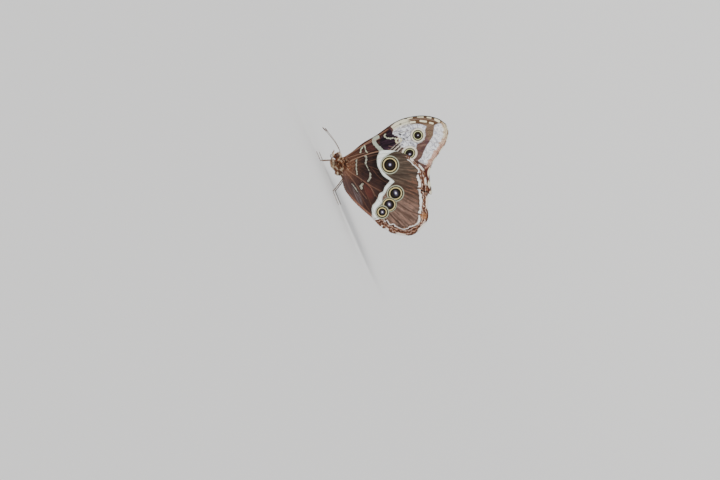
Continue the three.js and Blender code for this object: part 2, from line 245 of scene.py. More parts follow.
# Distance of points to a line in the plane, and the length along the line where it is met
def toLine(points, line, block=4000):
    a, d = line[:-1], np.diff(line, axis=0)
    size = np.maximum((d**2).sum(1), 1e-12)
    lengths = runLengths(line)
    away, along = [], []
    for start in range(0, len(points), block):
        rel = points[start : start + block, None] - a
        t = np.clip((rel * d).sum(2) / size, 0, 1)
        gap = np.linalg.norm(rel - t[..., None] * d, axis=2)
        best = gap.argmin(1)
        rows = np.arange(len(best))
        away.append(gap[rows, best])
        along.append(lengths[best] + t[rows, best] * np.sqrt(size[best]))
    return np.concatenate(away), np.concatenate(along)


def insideLoop(points, loop):
    x, z = points[:, 0], points[:, 1]
    inside = np.zeros(len(points), bool)
    for (ax, az), (bx, bz) in zip(loop, np.roll(loop, -1, axis=0)):
        if az != bz:
            inside ^= ((az > z) != (bz > z)) & (x < ax + (z - az) * (bx - ax) / (bz - az))
    return inside


# Depth inside a closed area, below nought outside it
def depthInside(points, corners):
    loop = smoothLine([*corners, corners[0]], 12)
    away, _ = toLine(points, loop)
    return np.where(insideLoop(points, loop[:-1]), away, -away)


# Depth inside the nearest of several strokes, each a line with its half width
def depthInStrokes(points, strokes):
    depths = [half - toLine(points, smoothLine(line, 12))[0] for half, line in strokes]
    return np.max(depths, axis=0)


forewingPlan = {
    "scallop": 0.45,
    "edges": {
        "costa": [(-4.4, -0.8), (-5.8, 7.5), (-8.4, 17), (-9.6, 26.7), (-12.6, 41.5), (-12.2, 50),
                  (-8.6, 61.2), (-3.2, 68.4), (1.4, 71.2)],
        "margin": [(1.4, 71.2), (5.2, 70.9), (9.2, 69), (13, 65), (17.2, 58.7), (21.8, 52.5), (28, 48.2),
                   (39.6, 45.2)],
        "inner": [(39.6, 45.2), (26, 29.5), (11, 13), (-0.4, -0.4)],
    },
    "veins": {
        "subcosta": [(-4, 0.5), (-6.5, 10), (-8, 22), (-11.3, 35.6)],
        "radius": [(-3.6, 0.5), (-5.6, 8), (-6.9, 18), (-7, 28), (-6.8, 32.4)],
        "radial1": [(-6.9, 22.5), (-9.2, 31.5), (-12.7, 43.9)],
        "radial2": [(-7, 28.2), (-9.3, 39), (-12.2, 50.7)],
        "radial3": [(-6.8, 32.4), (-8.1, 44), (-9.8, 58.2)],
        "radial4": [(-8, 43), (-7.2, 52), (-4.2, 67.2)],
        "radial5": [(-7.3, 51.5), (-3.9, 62), (1.4, 71.2)],
        "medial1": [(-6.8, 32.4), (-3.2, 51.5), (6, 70.9)],
        "medial2": [(-3.6, 32.7), (3.8, 50.4), (12.2, 66.1)],
        "medial3": [(-0.8, 31.3), (6.3, 43), (17.2, 58.7)],
        "cubital1": [(-0.4, 25.5), (12.3, 40.6), (21.8, 52.5)],
        "cubital2": [(-1.5, 18.9), (13.3, 33.9), (29.6, 47.7)],
        "cubitus": [(-3, 0.8), (-2.9, 9), (-1.5, 18.9), (-0.4, 25.5), (-0.8, 31.3)],
        "cellEnd": [(-6.8, 32.4), (-3.6, 32.7), (-0.8, 31.3)],
        "anal": [(-2.4, 0.6), (4.4, 12), (16, 27.2), (36.5, 45.9)],
    },
}

hindwingPlan = {
    "scallop": 0.8,
    "edges": {
        "costa": [(0.8, -0.8), (-0.9, 4), (-1.1, 12), (-0.4, 21), (1.4, 28.4), (5.6, 36.2), (10.8, 41.5)],
        "margin": [(10.8, 41.5), (16, 44), (21, 46.8), (28, 46.2), (35.8, 44.2), (46.9, 39.8), (54.2, 36),
                   (58, 29.5), (58.2, 20.5), (54, 13.6), (45.8, 6.5)],
        "inner": [(45.8, 6.5), (38.4, 3.6), (30.5, -0.3), (23, -3.4), (15, -5.4), (8.5, -4.5), (3.4, -2.6)],
    },
    "veins": {
        "humeral": [(1.4, 3), (-0.9, 6.4)],
        "subcosta": [(1.6, 1), (0.9, 14.5), (3.4, 27.6), (10.8, 41.5)],
        "radius": [(2.4, 0.8), (3.6, 7), (4.3, 18), (6.3, 29.8), (10.6, 38.5), (16, 44)],
        "medial1": [(4, 11), (8.5, 16.5), (17.6, 26.5), (21.8, 37.5), (25.5, 46.7)],
        "medial2": [(7.6, 15.4), (18.4, 19.4), (27.4, 29), (34.8, 44.5)],
        "medial3": [(15.1, 8.2), (20.2, 12.2), (26.1, 17), (32.7, 20.7), (44, 28.3), (51.7, 37.6)],
        "cubital1": [(2.6, -0.3), (8.8, 4.2), (15.1, 8.2), (19.9, 10.5), (28.3, 12), (36.6, 14.3),
                     (47.6, 18.4), (58.2, 23.9)],
        "cubital2": [(12.4, 6.6), (27, 6.6), (38, 6.9), (51.5, 11.4)],
        "anal1": [(3.2, -1.2), (15.6, 2.4), (30, 3.4), (47.4, 7.9)],
        "anal2": [(3.4, -1.8), (14, -2.4), (24, -1.4), (33, 0.9)],
    },
}

# Markings, in the same plane. An area is a closed outline, a stroke a half width and a line,
# and a ring has its middle, its radii and its half width.
hindwingMarks = {
    "pale": ("area", [(-1.5, 24.5), (1.1, 24.3), (3.2, 22.2), (6, 20.8), (9.2, 20), (12, 20.2), (14.6, 20.5),
                      (16.8, 21.2), (18.9, 22.5), (20.7, 23.7), (22.2, 21.2), (23.5, 18.9), (25.5, 17.1),
                      (26, 14.3), (28.2, 12.2), (30.3, 9.5), (31.3, 7.4), (33.2, 5.9), (36, 5), (39, 3.6),
                      (42.5, 4.4), (42.6, 8), (41.5, 9.4), (39.8, 9), (37.4, 8.4), (35, 8.8), (33.6, 10.6),
                      (32.2, 13.4), (28.9, 15.4), (27.4, 17.8), (25.3, 20.3), (23.3, 24.6), (22.6, 26.2),
                      (18.4, 24.2), (16.4, 23.2), (12.7, 22.4), (9.3, 22.7), (7, 23.8), (5.7, 25.8),
                      (4.8, 29.7), (4.6, 33.9), (5.6, 36.6), (3.6, 35), (-1, 30)]),
    "basal": ("area", [(-8, 24.5), (-1.5, 24.5), (1.1, 24.3), (3.2, 22.2), (6, 20.8), (9.2, 20),
                       (14.6, 20.5), (18.9, 22.5), (20.7, 23.7), (22.2, 21.2), (25.5, 17.1), (26, 14.3),
                       (28.2, 12.2), (31.3, 7.4), (36, 5), (40, -8), (-8, -14)]),
    "bars": ("strokes", [
        (0.42, [(0.2, 8.9), (2.8, 7.7), (5.5, 6.5), (9, 5.8)]),
        (0.6, [(-0.6, 14.6), (0.9, 15.4), (2.5, 14.8), (4.6, 13.4)]),
        (0.28, [(4.6, 13.4), (8, 13.6), (12.2, 13.7)]),
        (0.62, [(12.2, 13.7), (14.2, 12.6), (15.8, 10.6)]),
        (0.8, [(15.9, 6.5), (17.2, 4.9), (18.4, 5.0)]),
        (0.35, [(13.2, 0.3), (16.5, 1.1), (19.4, 1.6)]),
    ]),
    "rose": ("strokes", [
        (0.3, [(3, 0.4), (8.8, 4.2), (15.1, 8.2), (19.9, 10.5), (26.3, 11)]),
        (0.26, [(3.6, 7), (1.2, 2.6)]),
        (0.3, [(-0.7, 4.6), (-0.9, 12), (-0.2, 21)]),
        (0.24, [(3.4, -1), (10, 1.4), (18, 3.2), (26, 5.4)]),
        (0.5, [(19, -4), (24, -2.3), (31, 1), (36.4, 4)]),
        (0.24, [(15.1, 8.2), (20.2, 11.9), (25, 15.6)]),
    ]),
}
hindwingSpots = [
    {"at": (11.4, 27.7), "rings": (3.75, 4.7, 5.35, 6.0), "stretch": 1.0, "pupil": (-0.1, 0.1, 0.62, 1.0)},
    {"at": (29.9, 24.0), "rings": (3.25, 4.1, 4.7, 5.3), "stretch": 1.06, "pupil": (-0.15, 0.25, 0.6, 1.6)},
    {"at": (35.1, 17.4), "rings": (3.1, 4.0, 4.35, 4.7), "stretch": 1.05, "pupil": (-0.2, 0.2, 0.6, 1.4)},
    {"at": (37.8, 11.4), "rings": (2.3, 3.15, 3.8, 4.4), "stretch": 1.0, "pupil": (0, 0.1, 0.55, 1.1)},
]
forewingMarks = {
    "field": ("area", [(-11.4, 37.6), (-12.9, 44), (-11.6, 50.2), (-8.2, 52.4), (-5.2, 56.6), (-2.4, 58.9),
                       (-0.8, 57.4), (2.9, 56.2), (5.4, 52.8), (5.8, 49.4), (8.2, 47), (7, 43.6), (4.6, 40),
                       (3.4, 36.6), (1.6, 36.8), (-0.4, 38.4), (-3.2, 39.4), (-5.2, 37.6), (-6.8, 36.8),
                       (-9, 38.4)]),
    "outer": ("area", [(-1.6, 64.2), (1.8, 62.2), (4.5, 60.5), (7.3, 56.9), (10.2, 52.8), (14.3, 48.8),
                       (16.4, 45.6), (18.6, 47.6), (21.4, 50.6), (22, 53), (18.9, 55.4), (16, 59.2),
                       (12.2, 64.4), (8.4, 68.6), (2.4, 70.4), (-1.4, 67.8)]),
    "inky": ("area", [(-8.8, 33), (-10.4, 36.4), (-7.8, 37.2), (-5.6, 37.6), (-3.4, 38.6), (-1.2, 37.2),
                      (1.4, 35.6), (3, 31), (1.4, 28.4), (-2.6, 26.8), (-6.2, 28), (-7.6, 30)]),
    "bars": ("strokes", [
        (0.35, [(-3.4, 13), (-5.4, 14.6), (-6.4, 17.2)]),
        (0.35, [(-6.4, 17.2), (-4, 16.7), (-1.6, 17)]),
        (1.2, [(-8.4, 27.2), (-8.1, 25.4), (-7.2, 24.1), (-4.9, 24.1), (-2.5, 24.8), (0.8, 26.4)]),
        (0.42, [(-8.1, 32.6), (-7.3, 31.5), (-5.9, 32), (-4.8, 33.6), (-3.9, 36), (-2.9, 37.6)]),
    ]),
    "ring": ("ring", [(-1.1, 38.9), (1.35, 1.75), 0.42]),
    "fleck": ("strokes", [
        (0.42, [(-4.9, 40.7), (-4.1, 41.8)]),
        (0.34, [(-0.8, 42.1), (-0.2, 42.8)]),
        (0.45, [(-10.6, 43.7), (-10.4, 44.3)]),
        (0.4, [(12.6, 43.6), (13.3, 43.9)]),
        (0.2, [(-2.4, 40.2), (-1.2, 42.6), (-0.9, 45.4), (-1.8, 47.4)]),
        (0.16, [(-6.4, 40.4), (-5.2, 43.2)]),
        (0.2, [(2.3, 35.2), (4.3, 38.6), (5.6, 41)]),
        (0.18, [(0.6, 35.4), (2.4, 38.8)]),
    ]),
    "dash": ("strokes", [
        (0.42, [(-11.9, 49.8), (-11.4, 52.6)]),
        (0.5, [(-10.6, 56.2), (-9.2, 59.4)]),
        (0.46, [(-7.9, 61.8), (-6.6, 63.8)]),
        (0.8, [(-4.6, 66.2), (-2.6, 67.8)]),
        (0.6, [(-9, 50.6), (-8.2, 53.2)]),
        (0.62, [(-7.4, 56.8), (-5.6, 60)]),
        (0.56, [(-4, 62), (-2.8, 63.6)]),
    ]),
    "rose": ("strokes", [
        (0.3, [(-4.2, 3), (-5.6, 8), (-6.9, 18), (-7.1, 28)]),
        (0.26, [(-5.6, 8), (-7.2, 17), (-8.9, 27), (-10.6, 35)]),
        (0.22, [(-3.4, 3), (-2.9, 9), (-1.6, 18.5)]),
        (0.26, [(1.4, 30.6), (3.4, 33.4), (4.6, 36.4)]),
        (0.22, [(-0.2, 31.6), (1.8, 34.4), (3.2, 37.2)]),
        (0.22, [(3, 30), (5, 33), (6.4, 36)]),
    ]),
}
forewingSpots = [
    {"at": (0.6, 51.7), "rings": (2.3, 3.05, 3.55, 4.6), "stretch": 1.0, "pupil": (0, 0.1, 0.4, 0.85)},
    {"at": (9.3, 42.2), "rings": (2.35, 3.05, 3.5, 4.7), "stretch": 1.12, "pupil": (0.6, 0.0, 0.5, 0.95)},
]


def planDepth(points, mark):
    kind, shape = mark
    if kind == "area":
        return depthInside(points, shape)
    if kind == "strokes":
        return depthInStrokes(points, shape)
    centre, radii, half = shape
    reach = np.linalg.norm((points - np.array(centre)) / np.array(radii), axis=1)
    return half - np.abs(reach - 1) * min(radii)


# Middle surface of the wings, as far from the body's middle plane as in the frame
outPlan = {
    "closed": 0.75, "spread": 1.05, "spreadLength": 13, "bow": 0.5, "wingLength": 74, "pair": 1.25,
    "centre": (-2, 0.5),
}
bellyPlan = {"depth": 1.05, "height": -2, "spread": 4.4, "steps": (1, 6, 25, 36)}


def smoothStep(x, low, high):
    t = np.clip((x - low) / (high - low), 0, 1)
    return t * t * (3 - 2 * t)


def forewingOut(p):
    reach = np.hypot(*(p - np.array(outPlan["centre"])).T)
    bow = outPlan["bow"] * np.sin(np.pi * np.minimum(1, reach / outPlan["wingLength"]))
    return outPlan["closed"] + outPlan["spread"] * np.exp(-reach / outPlan["spreadLength"]) + bow


def hindwingOut(p):
    start, full, until, gone = bellyPlan["steps"]
    lengthwise = smoothStep(p[:, 0], start, full) * (1 - smoothStep(p[:, 0], until, gone))
    upright = np.exp(-(((p[:, 1] - bellyPlan["height"]) / bellyPlan["spread"]) ** 2))
    return forewingOut(p) + outPlan["pair"] + bellyPlan["depth"] * lengthwise * upright


# Spacing of the points of a wing, and its thickness: half, at the edge, and what veins and cells add or take
meshPlan = {
    "step": 0.42, "row": 0.866, "rimStep": 0.4, "veinStep": 0.5, "veinRows": (0, -0.17, 0.17, -0.4, 0.4),
    "veinReach": 1.6, "dotGap": 0.14, "dotToRim": 0.15, "gridToVein": 0.58, "gridToRim": 0.26,
    "half": 0.15, "edgeHalf": 0.07, "edgeWidth": 0.8, "fadeWidth": 2,
    "vein": 0.11, "veinWidth": 0.2, "sag": 0.16, "sagFrom": 0.2, "sagWidth": 1.6,
}


# The rim of a wing with its bays, and for each point of it the count of cells along the outer margin.
# A vein that ends near the rim is drawn on to it, and parts two bays.
def rimOf(plan, step):
    lines = {name: smoothLine(points) for name, points in plan["edges"].items()}
    veins, stops = [], {name: [0.0, runLengths(line)[-1]] for name, line in lines.items()}
    for points in plan["veins"].values():
        end = np.array([points[-1]], float)
        met = {name: toLine(end, line) for name, line in lines.items()}
        edge = min(met, key=lambda name: met[name][0][0])
        away, along = met[edge][0][0], met[edge][1][0]
        if away < meshPlan["veinReach"]:
            total = stops[edge][1]
            if 0.01 * total < along < 0.99 * total:
                stops[edge].append(along)
            points = [*points[:-1], tuple(atLengths(lines[edge], [along])[0])]
        veins.append(smoothLine(points))
    rim, lanes = [], []
    for name, line in lines.items():
        marks = sorted(stops[name])
        depth = plan["scallop"] if name == "margin" else 0
        for lane, (start, end) in enumerate(zip(marks, marks[1:])):
            count = max(1, int(round((end - start) / step)))
            share = np.arange(count) / count
            along = start + (end - start) * share
            at = atLengths(line, along)
            ahead = unit(atLengths(line, along + 0.01) - at)
            bay = depth * np.sin(np.pi * share)[:, None]
            rim.append(at + np.column_stack([ahead[:, 1], -ahead[:, 0]]) * bay)
            lanes.append(lane + share if name == "margin" else np.full(count, -1.0))
    return {"rim": np.vstack(rim), "lanes": np.concatenate(lanes), "veins": veins, "lines": lines,
            "stops": sorted(stops["margin"])}


def wingPoints(shape):
    step = meshPlan["step"]
    rim = shape["rim"]
    low, high = rim.min(0), rim.max(0)
    xs, zs = np.meshgrid(np.arange(low[0], high[0], step), np.arange(low[1], high[1], step * meshPlan["row"]))
    xs = xs + (np.arange(len(xs)) % 2)[:, None] * step / 2
    grid = np.column_stack([xs.ravel(), zs.ravel()])
    closed = np.vstack([rim, rim[:1]])
    grid = grid[insideLoop(grid, rim)]
    veinDots = []
    for line in shape["veins"]:
        dots = evenly(line, meshPlan["veinStep"])
        ahead = unit(np.gradient(dots, axis=0))
        aside = np.column_stack([-ahead[:, 1], ahead[:, 0]])
        veinDots += [dots + aside * off for off in meshPlan["veinRows"]]
    veinDots = np.vstack(veinDots)
    veinDots = veinDots[insideLoop(veinDots, rim)]
    veinDots = veinDots[toLine(veinDots, closed)[0] > meshPlan["dotToRim"]]
    taken, kept = set(), []
    for dot in veinDots:
        key = tuple(round(place / meshPlan["dotGap"]) for place in dot)
        if key not in taken:
            taken.add(key)
            kept.append(dot)
    toVein = veinDistance(grid, shape)
    grid = grid[(toVein > meshPlan["gridToVein"]) & (toLine(grid, closed)[0] > meshPlan["gridToRim"])]
    return np.vstack([rim, np.array(kept), grid])


def veinDistance(points, shape):
    return np.min([toLine(points, evenly(line, 1.0))[0] for line in shape["veins"]], axis=0)


def setFloats(mesh, name, values):
    mesh.attributes.new(name, "FLOAT", "POINT").data.foreach_set("value", np.asarray(values, np.float32))


def setVectors(mesh, name, values):
    data = mesh.attributes.new(name, "FLOAT_VECTOR", "POINT").data
    data.foreach_set("vector", np.asarray(values, np.float32).ravel())


def vertexRows(mesh, key):
    rows = np.empty(len(mesh.vertices) * 3)
    mesh.vertices.foreach_get(key, rows)
    return rows.reshape(-1, 3)


def shadeSmooth(mesh):
    if len(mesh.polygons):
        mesh.polygons.foreach_set("use_smooth", [True] * len(mesh.polygons))


def newObject(name, vertices, faces, *materials):
    mesh = bpy.data.meshes.new(name)
    mesh.from_pydata(np.asarray(vertices).tolist(), [], [tuple(face) for face in faces])
    shadeSmooth(mesh)
    for material in materials:
        mesh.materials.append(material)
    return placeObject(name, mesh)


def inWorld(points):
    return np.asarray(points, float) * mm + wingRoot


# Points of the plan, set out from the body's middle plane
def acrossPlan(points, out):
    return inWorld(np.column_stack([points[:, 0], out, points[:, 1]]))


# Points of the plan turned about the wing root. A turn above nought brings the tip toward the tail.
def turnedPlan(points, degrees):
    turn = math.radians(degrees)
    x = points[:, 0] * math.cos(turn) + points[:, 1] * math.sin(turn)
    return np.column_stack([x, points[:, 1] * math.cos(turn) - points[:, 0] * math.sin(turn)])


# The flat mesh of a wing, and what its finishes read at each point: depth in marks, distance to veins and rim
def wingFactsOf(plan, marks):
    shape = rimOf(plan, meshPlan["rimStep"])
    count = len(shape["rim"])
    points = wingPoints(shape)
    loop = [(i, (i + 1) % count) for i in range(count)]
    made = delaunay_2d_cdt([Vector(p) for p in points], loop, [list(range(count))], 1, 1e-4)
    points = np.array([tuple(p) for p in made[0]])
    triangles = np.array(made[2])
    closed = np.vstack([shape["rim"], shape["rim"][:1]])
    marginLine = evenly(shape["lines"]["margin"], 1.0)
    rimLine = shape["rim"][shape["lanes"] >= 0]
    facts = {name: planDepth(points, mark) for name, mark in marks.items()}
    facts["planX"], facts["planZ"] = points[:, 0], points[:, 1]
    facts["vein"] = veinDistance(points, shape)
    facts["rim"] = toLine(points, np.vstack([rimLine, shape["lines"]["margin"][-1:]]))[0]
    facts["edge"] = toLine(points, closed)[0]
    facts["costa"] = toLine(points, shape["lines"]["costa"])[0]
    facts["lane"] = np.interp(toLine(points, marginLine)[1], shape["stops"], np.arange(len(shape["stops"])))
    return {"points": points, "triangles": triangles, "facts": facts, "shape": shape}


# A wing of two sheets closed along the rim, thick on the veins and hollowed a little in the cells
def wingObject(name, kind, outAt, sign, turn, finishes):
    found = wingFacts[kind]
    points, triangles, facts = found["points"], found["triangles"], found["facts"]
    toEdge = smoothStep(facts["edge"], 0, meshPlan["edgeWidth"])
    fade = smoothStep(facts["edge"], 0, meshPlan["fadeWidth"])
    half = meshPlan["edgeHalf"] + (meshPlan["half"] - meshPlan["edgeHalf"]) * toEdge
    half = half + meshPlan["vein"] * np.exp(-((facts["vein"] / meshPlan["veinWidth"]) ** 2)) * fade
    sag = meshPlan["sag"] * smoothStep(facts["vein"], meshPlan["sagFrom"], meshPlan["sagWidth"]) * fade
    middle = outAt(points) - sag
    count = len(points)
    turned = turnedPlan(points, turn)
    outer, inner = acrossPlan(turned, sign * (middle + half)), acrossPlan(turned, sign * (middle - half))
    edges = {}
    for a, b, c in triangles.tolist():
        edges.update({(a, b): True, (b, c): True, (c, a): True})
    sides = [(b, a, a + count, b + count) for a, b in edges if (b, a) not in edges]
    outerFaces = triangles if sign < 0 else triangles[:, ::-1]
    innerFaces = (triangles[:, ::-1] if sign < 0 else triangles) + count
    if sign > 0:
        sides = [face[::-1] for face in sides]
    faces = [*outerFaces.tolist(), *innerFaces.tolist(), *sides]
    wing = newObject(name, np.vstack([outer, inner]), faces, *finishes)
    slots = [0] * len(outerFaces) + [1] * len(innerFaces) + [0] * len(sides)
    wing.data.polygons.foreach_set("material_index", slots)
    for key, values in facts.items():
        setFloats(wing.data, key, np.concatenate([values, values]))
    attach(wing, "root")
    return wing


wingFacts = {
    "forewing": wingFactsOf(forewingPlan, forewingMarks),
    "hindwing": wingFactsOf(hindwingPlan, hindwingMarks),
}
print("wing plans made", {kind: len(found["triangles"]) for kind, found in wingFacts.items()})


# An eyespot: dark middle with a pupil, a yellow ring, a dark line and a pale outer ring
def eyespot(finish, x, z, spot, jitter, tones):
    yellow, yellowEdge, outerTone = (tone(*levels) for levels in tones)
    cx, cz = spot["at"]
    r1, r2, r3, r4 = spot["rings"]
    across, along = x - cx, (z - cz) * (1 / spot["stretch"])
    reach = finish.distance(across, along) + jitter * 0.14
    px, pz, size, longer = spot["pupil"]
    pupil = finish.distance((across - px) * (1 / longer), along - pz)
    glow = finish.hill(reach, r1 * 0.6, r1 * 0.12, r1 * 0.16)
    core = finish.blend(glow * 0.5, tone(12, 9, 9), tone(58, 46, 34))
    core = finish.over(
        core,
        ((1 - finish.rise(pupil, size * 0.8, size * 2.6)) * 0.6, (118, 110, 140)),
        (1 - finish.rise(pupil, size * 0.5, size * 0.95), (250, 250, 255)),
    )
    ring = finish.blend(finish.hill(reach, (r1 + r2) / 2, (r2 - r1) * 0.2, 0.16), yellowEdge, yellow)
    colour = finish.blend(finish.rise(reach, r1 - 0.1, r1 + 0.14), core, ring)
    colour = finish.blend(finish.rise(reach, r2 - 0.1, r2 + 0.1), colour, tone(30, 25, 17))
    colour = finish.blend(finish.rise(reach, r3 - 0.1, r3 + 0.12), colour, outerTone)
    colour = finish.blend(finish.rise(reach, r4 - 0.12, r4 + 0.06) * 0.8, colour, tone(58, 50, 40))
    return colour, 1 - finish.rise(reach, r4, r4 + 0.3)


# Where a point lies in the plan, and what all wing finishes share: rows of scales, clumps and broad shade
def wingScales(f):
    x, z = f.attribute("planX"), f.attribute("planZ")
    plane = f.vector(x, z)
    return x, z, plane, f.cells(plane, 7.5), f.noise(plane, 3.2, 3, 0.6), f.noise(plane, 0.35, 3, 0.55)


# Eyespots over the pattern, dark gaps between the scales, and the scales' relief
def underFinish(f, scales, colour, jitter, spots, tones):
    x, z, plane, rows, clumps, _ = scales
    for spot in spots:
        ring, cover = eyespot(f, x, z, spot, jitter, tones)
        colour = f.blend(cover, colour, ring)
    colour = f.blend(f.rise(rows, 0.3, 0.75) * 0.22, colour, tone(30, 22, 20), "MULTIPLY")
    height = rows * -0.25 + clumps * 0.5 + f.noise(plane, 16, 2) * 0.3
    return f.done(colour, 0.72 + 0.2 * clumps, f.bump(height, 0.35, 0.00012), Specular_IOR_Level=0.14)


def hindwingUnder():
    f = Finish("hindwingUnder")
    scales = wingScales(f)
    x, z, plane, rows, clumps, broad = scales
    jitter = (f.noise(plane, 2.4, 3, 0.6) - 0.5) * 0.9
    vein, rim, lane, edge = (f.attribute(name) for name in ("vein", "rim", "lane", "edge"))
    ray = f.maths("ARCTAN2", z + 2, x + 4)
    reach = f.distance(x, z)
    streaks = f.noise(f.vector(ray * 34, reach * 0.07), 1, 3, 0.6)
    fine = f.noise(f.vector(ray * 90, reach * 0.25), 1, 2, 0.6)
    basal = f.attribute("basal") + jitter * 0.4
    low = 1 - f.rise(ray, 0.35, 1.0)
    # Ground beyond the white band: olive brown above, red brown, then greyish pink below
    upper = f.blend(f.rise(streaks, 0.35, 0.7), tone(68, 56, 47), tone(98, 86, 73))
    middle = f.blend(f.rise(streaks, 0.35, 0.7), tone(66, 48, 40), tone(102, 80, 66))
    lower = f.blend(f.rise(streaks, 0.35, 0.72), tone(92, 70, 60), tone(146, 120, 106))
    ground = f.blend(f.rise(x - z * 0.25, 12, 22), upper, middle)
    ground = f.blend(f.rise(low, 0.25, 0.7), ground, lower)
    redRays = f.hill(streaks, 0.6, 0.03, 0.05) * f.rise(reach, 34, 46)
    ground = f.over(
        ground,
        (redRays * 0.32, (160, 98, 76)),
        (f.rise(broad, 0.5, 0.66) * 0.3, (58, 46, 38)),
        ((1 - f.rise(vein, 0.1, 0.7)) * 0.55, (50, 36, 30)),
        (f.rise(fine, 0.5, 0.72) * 0.4, (58, 44, 36)),
    )
    # Ground before the band: dark maroon, black against the white
    near = 1 - f.rise(basal, 0.3, 4.5)
    base = f.blend(f.rise(streaks, 0.38, 0.7), tone(30, 20, 18), tone(62, 40, 34))
    base = f.over(
        base,
        (f.rise(low, 0.35, 0.95) * 0.7, (70, 47, 41)),
        (f.rise(broad, 0.48, 0.64) * 0.45, (34, 24, 28)),
        (near * (1 - low * 0.6) * 0.85, (18, 12, 12)),
        (f.rise(fine, 0.52, 0.75) * 0.4, (96, 66, 54)),
        ((1 - f.rise(vein, 0.06, 0.26)) * 0.4, (120, 84, 64)),
        ((1 - f.rise(reach, 4, 14)) * f.rise(clumps, 0.42, 0.6) * 0.75, (150, 102, 74)),
        ((1 - f.rise(z, -4.5, 1.5)) * 0.5, (104, 82, 80)),
    )
    # A greyish and a red patch between the veins
    for cx, cz, long, wide, shade in ((21, 0.8, 9, 2.2, (116, 106, 106)), (21, 8.6, 8, 3.0, (98, 48, 40))):
        away = f.distance((x - cx) * (1 / long), (z - cz) * (1 / wide))
        patch = 1 - f.rise(away + jitter * 0.3, 0.5, 1.1)
        base = f.blend(patch * f.rise(streaks, 0.38, 0.6) * 0.55, base, tone(*shade))
    colour = f.blend(f.rise(basal, -0.2, 0.2), ground, base)
    # Pale bars, veins of tan and rose, and the white band
    barDepth = f.attribute("bars") + jitter * 0.6 + (f.noise(plane, 1.0, 1) - 0.5) * 1.1
    colour = f.blend(f.hill(barDepth, -0.35, 0.2, 0.2) * 0.6, colour, tone(20, 14, 14))
    marks = f.blend(f.rise(clumps, 0.46, 0.6) * 0.7, tone(182, 182, 164), tone(104, 100, 86))
    broken = 0.5 + 0.5 * f.rise(f.noise(plane, 0.8, 2), 0.42, 0.54)
    colour = f.blend(f.rise(barDepth, -0.1, 0.2) * broken, colour, marks)
    rose = f.rise(f.attribute("rose") + jitter * 0.2, -0.14, 0.14)
    colour = f.blend(rose * f.rise(clumps, 0.34, 0.6) * 0.42, colour, tone(160, 122, 100))
    pale = f.attribute("pale") + jitter * 0.45
    white = f.blend(f.rise(pale, 0.1, 1.2), tone(212, 220, 212), tone(250, 252, 246))
    white = f.over(
        white,
        (f.rise(rows, 0.35, 0.6) * 0.2, (168, 178, 170)),
        (f.rise(clumps, 0.5, 0.66) * 0.3, (170, 180, 166)),
        ((1 - f.rise(vein, 0.05, 0.3)) * 0.5, (120, 116, 104)),
    )
    colour = f.blend(f.rise(pale, -0.12, 0.2), colour, white)
    # Outer border: mottled brown with wavy pink and dark lines
    swing = f.maths("ABSOLUTE", f.maths("SINE", lane * math.pi))
    wander = (f.noise(plane, 0.5, 1, 0.4) - 0.5) * 3.0
    narrow = 1 + 1.7 * (1 - f.rise(lane, 0.5, 2.3))
    lineAt = rim * narrow + (swing - 0.5) * 1.0 + wander + jitter * 0.35
    border = 1 - f.rise(lineAt, 4.7, 5.1)
    patches = f.noise(plane, 0.55, 2, 0.5)
    lowerSide = 1 - f.rise(z, 27, 34)
    borderGround = f.blend(f.rise(clumps, 0.38, 0.62), tone(70, 42, 32), tone(124, 80, 60))
    borderGround = f.blend(f.rise(patches, 0.54, 0.62) * 0.6, borderGround, tone(160, 112, 80))
    colour = f.blend(border, colour, borderGround)
    pink = f.blend(f.rise(clumps, 0.4, 0.62), tone(172, 134, 112), tone(232, 212, 196))
    for middle, half in ((1.1, 0.24), (2.9, 0.36)):
        patchy = 0.15 + 0.85 * f.rise(f.noise(f.vector(x + middle * 9, z), 0.45, 1), 0.42, 0.52)
        patchy = patchy * (1 - lowerSide * 0.45)
        colour = f.blend(f.hill(lineAt, middle, half, 0.18) * patchy, colour, pink)
    for middle, half in ((0.4, 0.16), (2.0, 0.24), (3.8, 0.3)):
        colour = f.blend(f.hill(lineAt, middle, half, 0.2) * 0.85, colour, tone(44, 25, 20))
    # A tan patch and two dark spots by the margin
    patch = f.distance(x - 50.4, z - 35.2) + jitter * 1.6
    patchTone = f.blend(f.rise(clumps, 0.42, 0.58), tone(112, 62, 34), tone(206, 150, 104))
    colour = f.blend((1 - f.rise(patch, 1.0, 2.9)) * 0.8, colour, patchTone)
    for cx, cz in ((56.0, 33.6), (56.9, 30.2)):
        corner = f.distance(x - cx, z - cz) + jitter
        colour = f.blend((1 - f.rise(corner, 0.7, 1.5)) * 0.9, colour, tone(40, 34, 22))
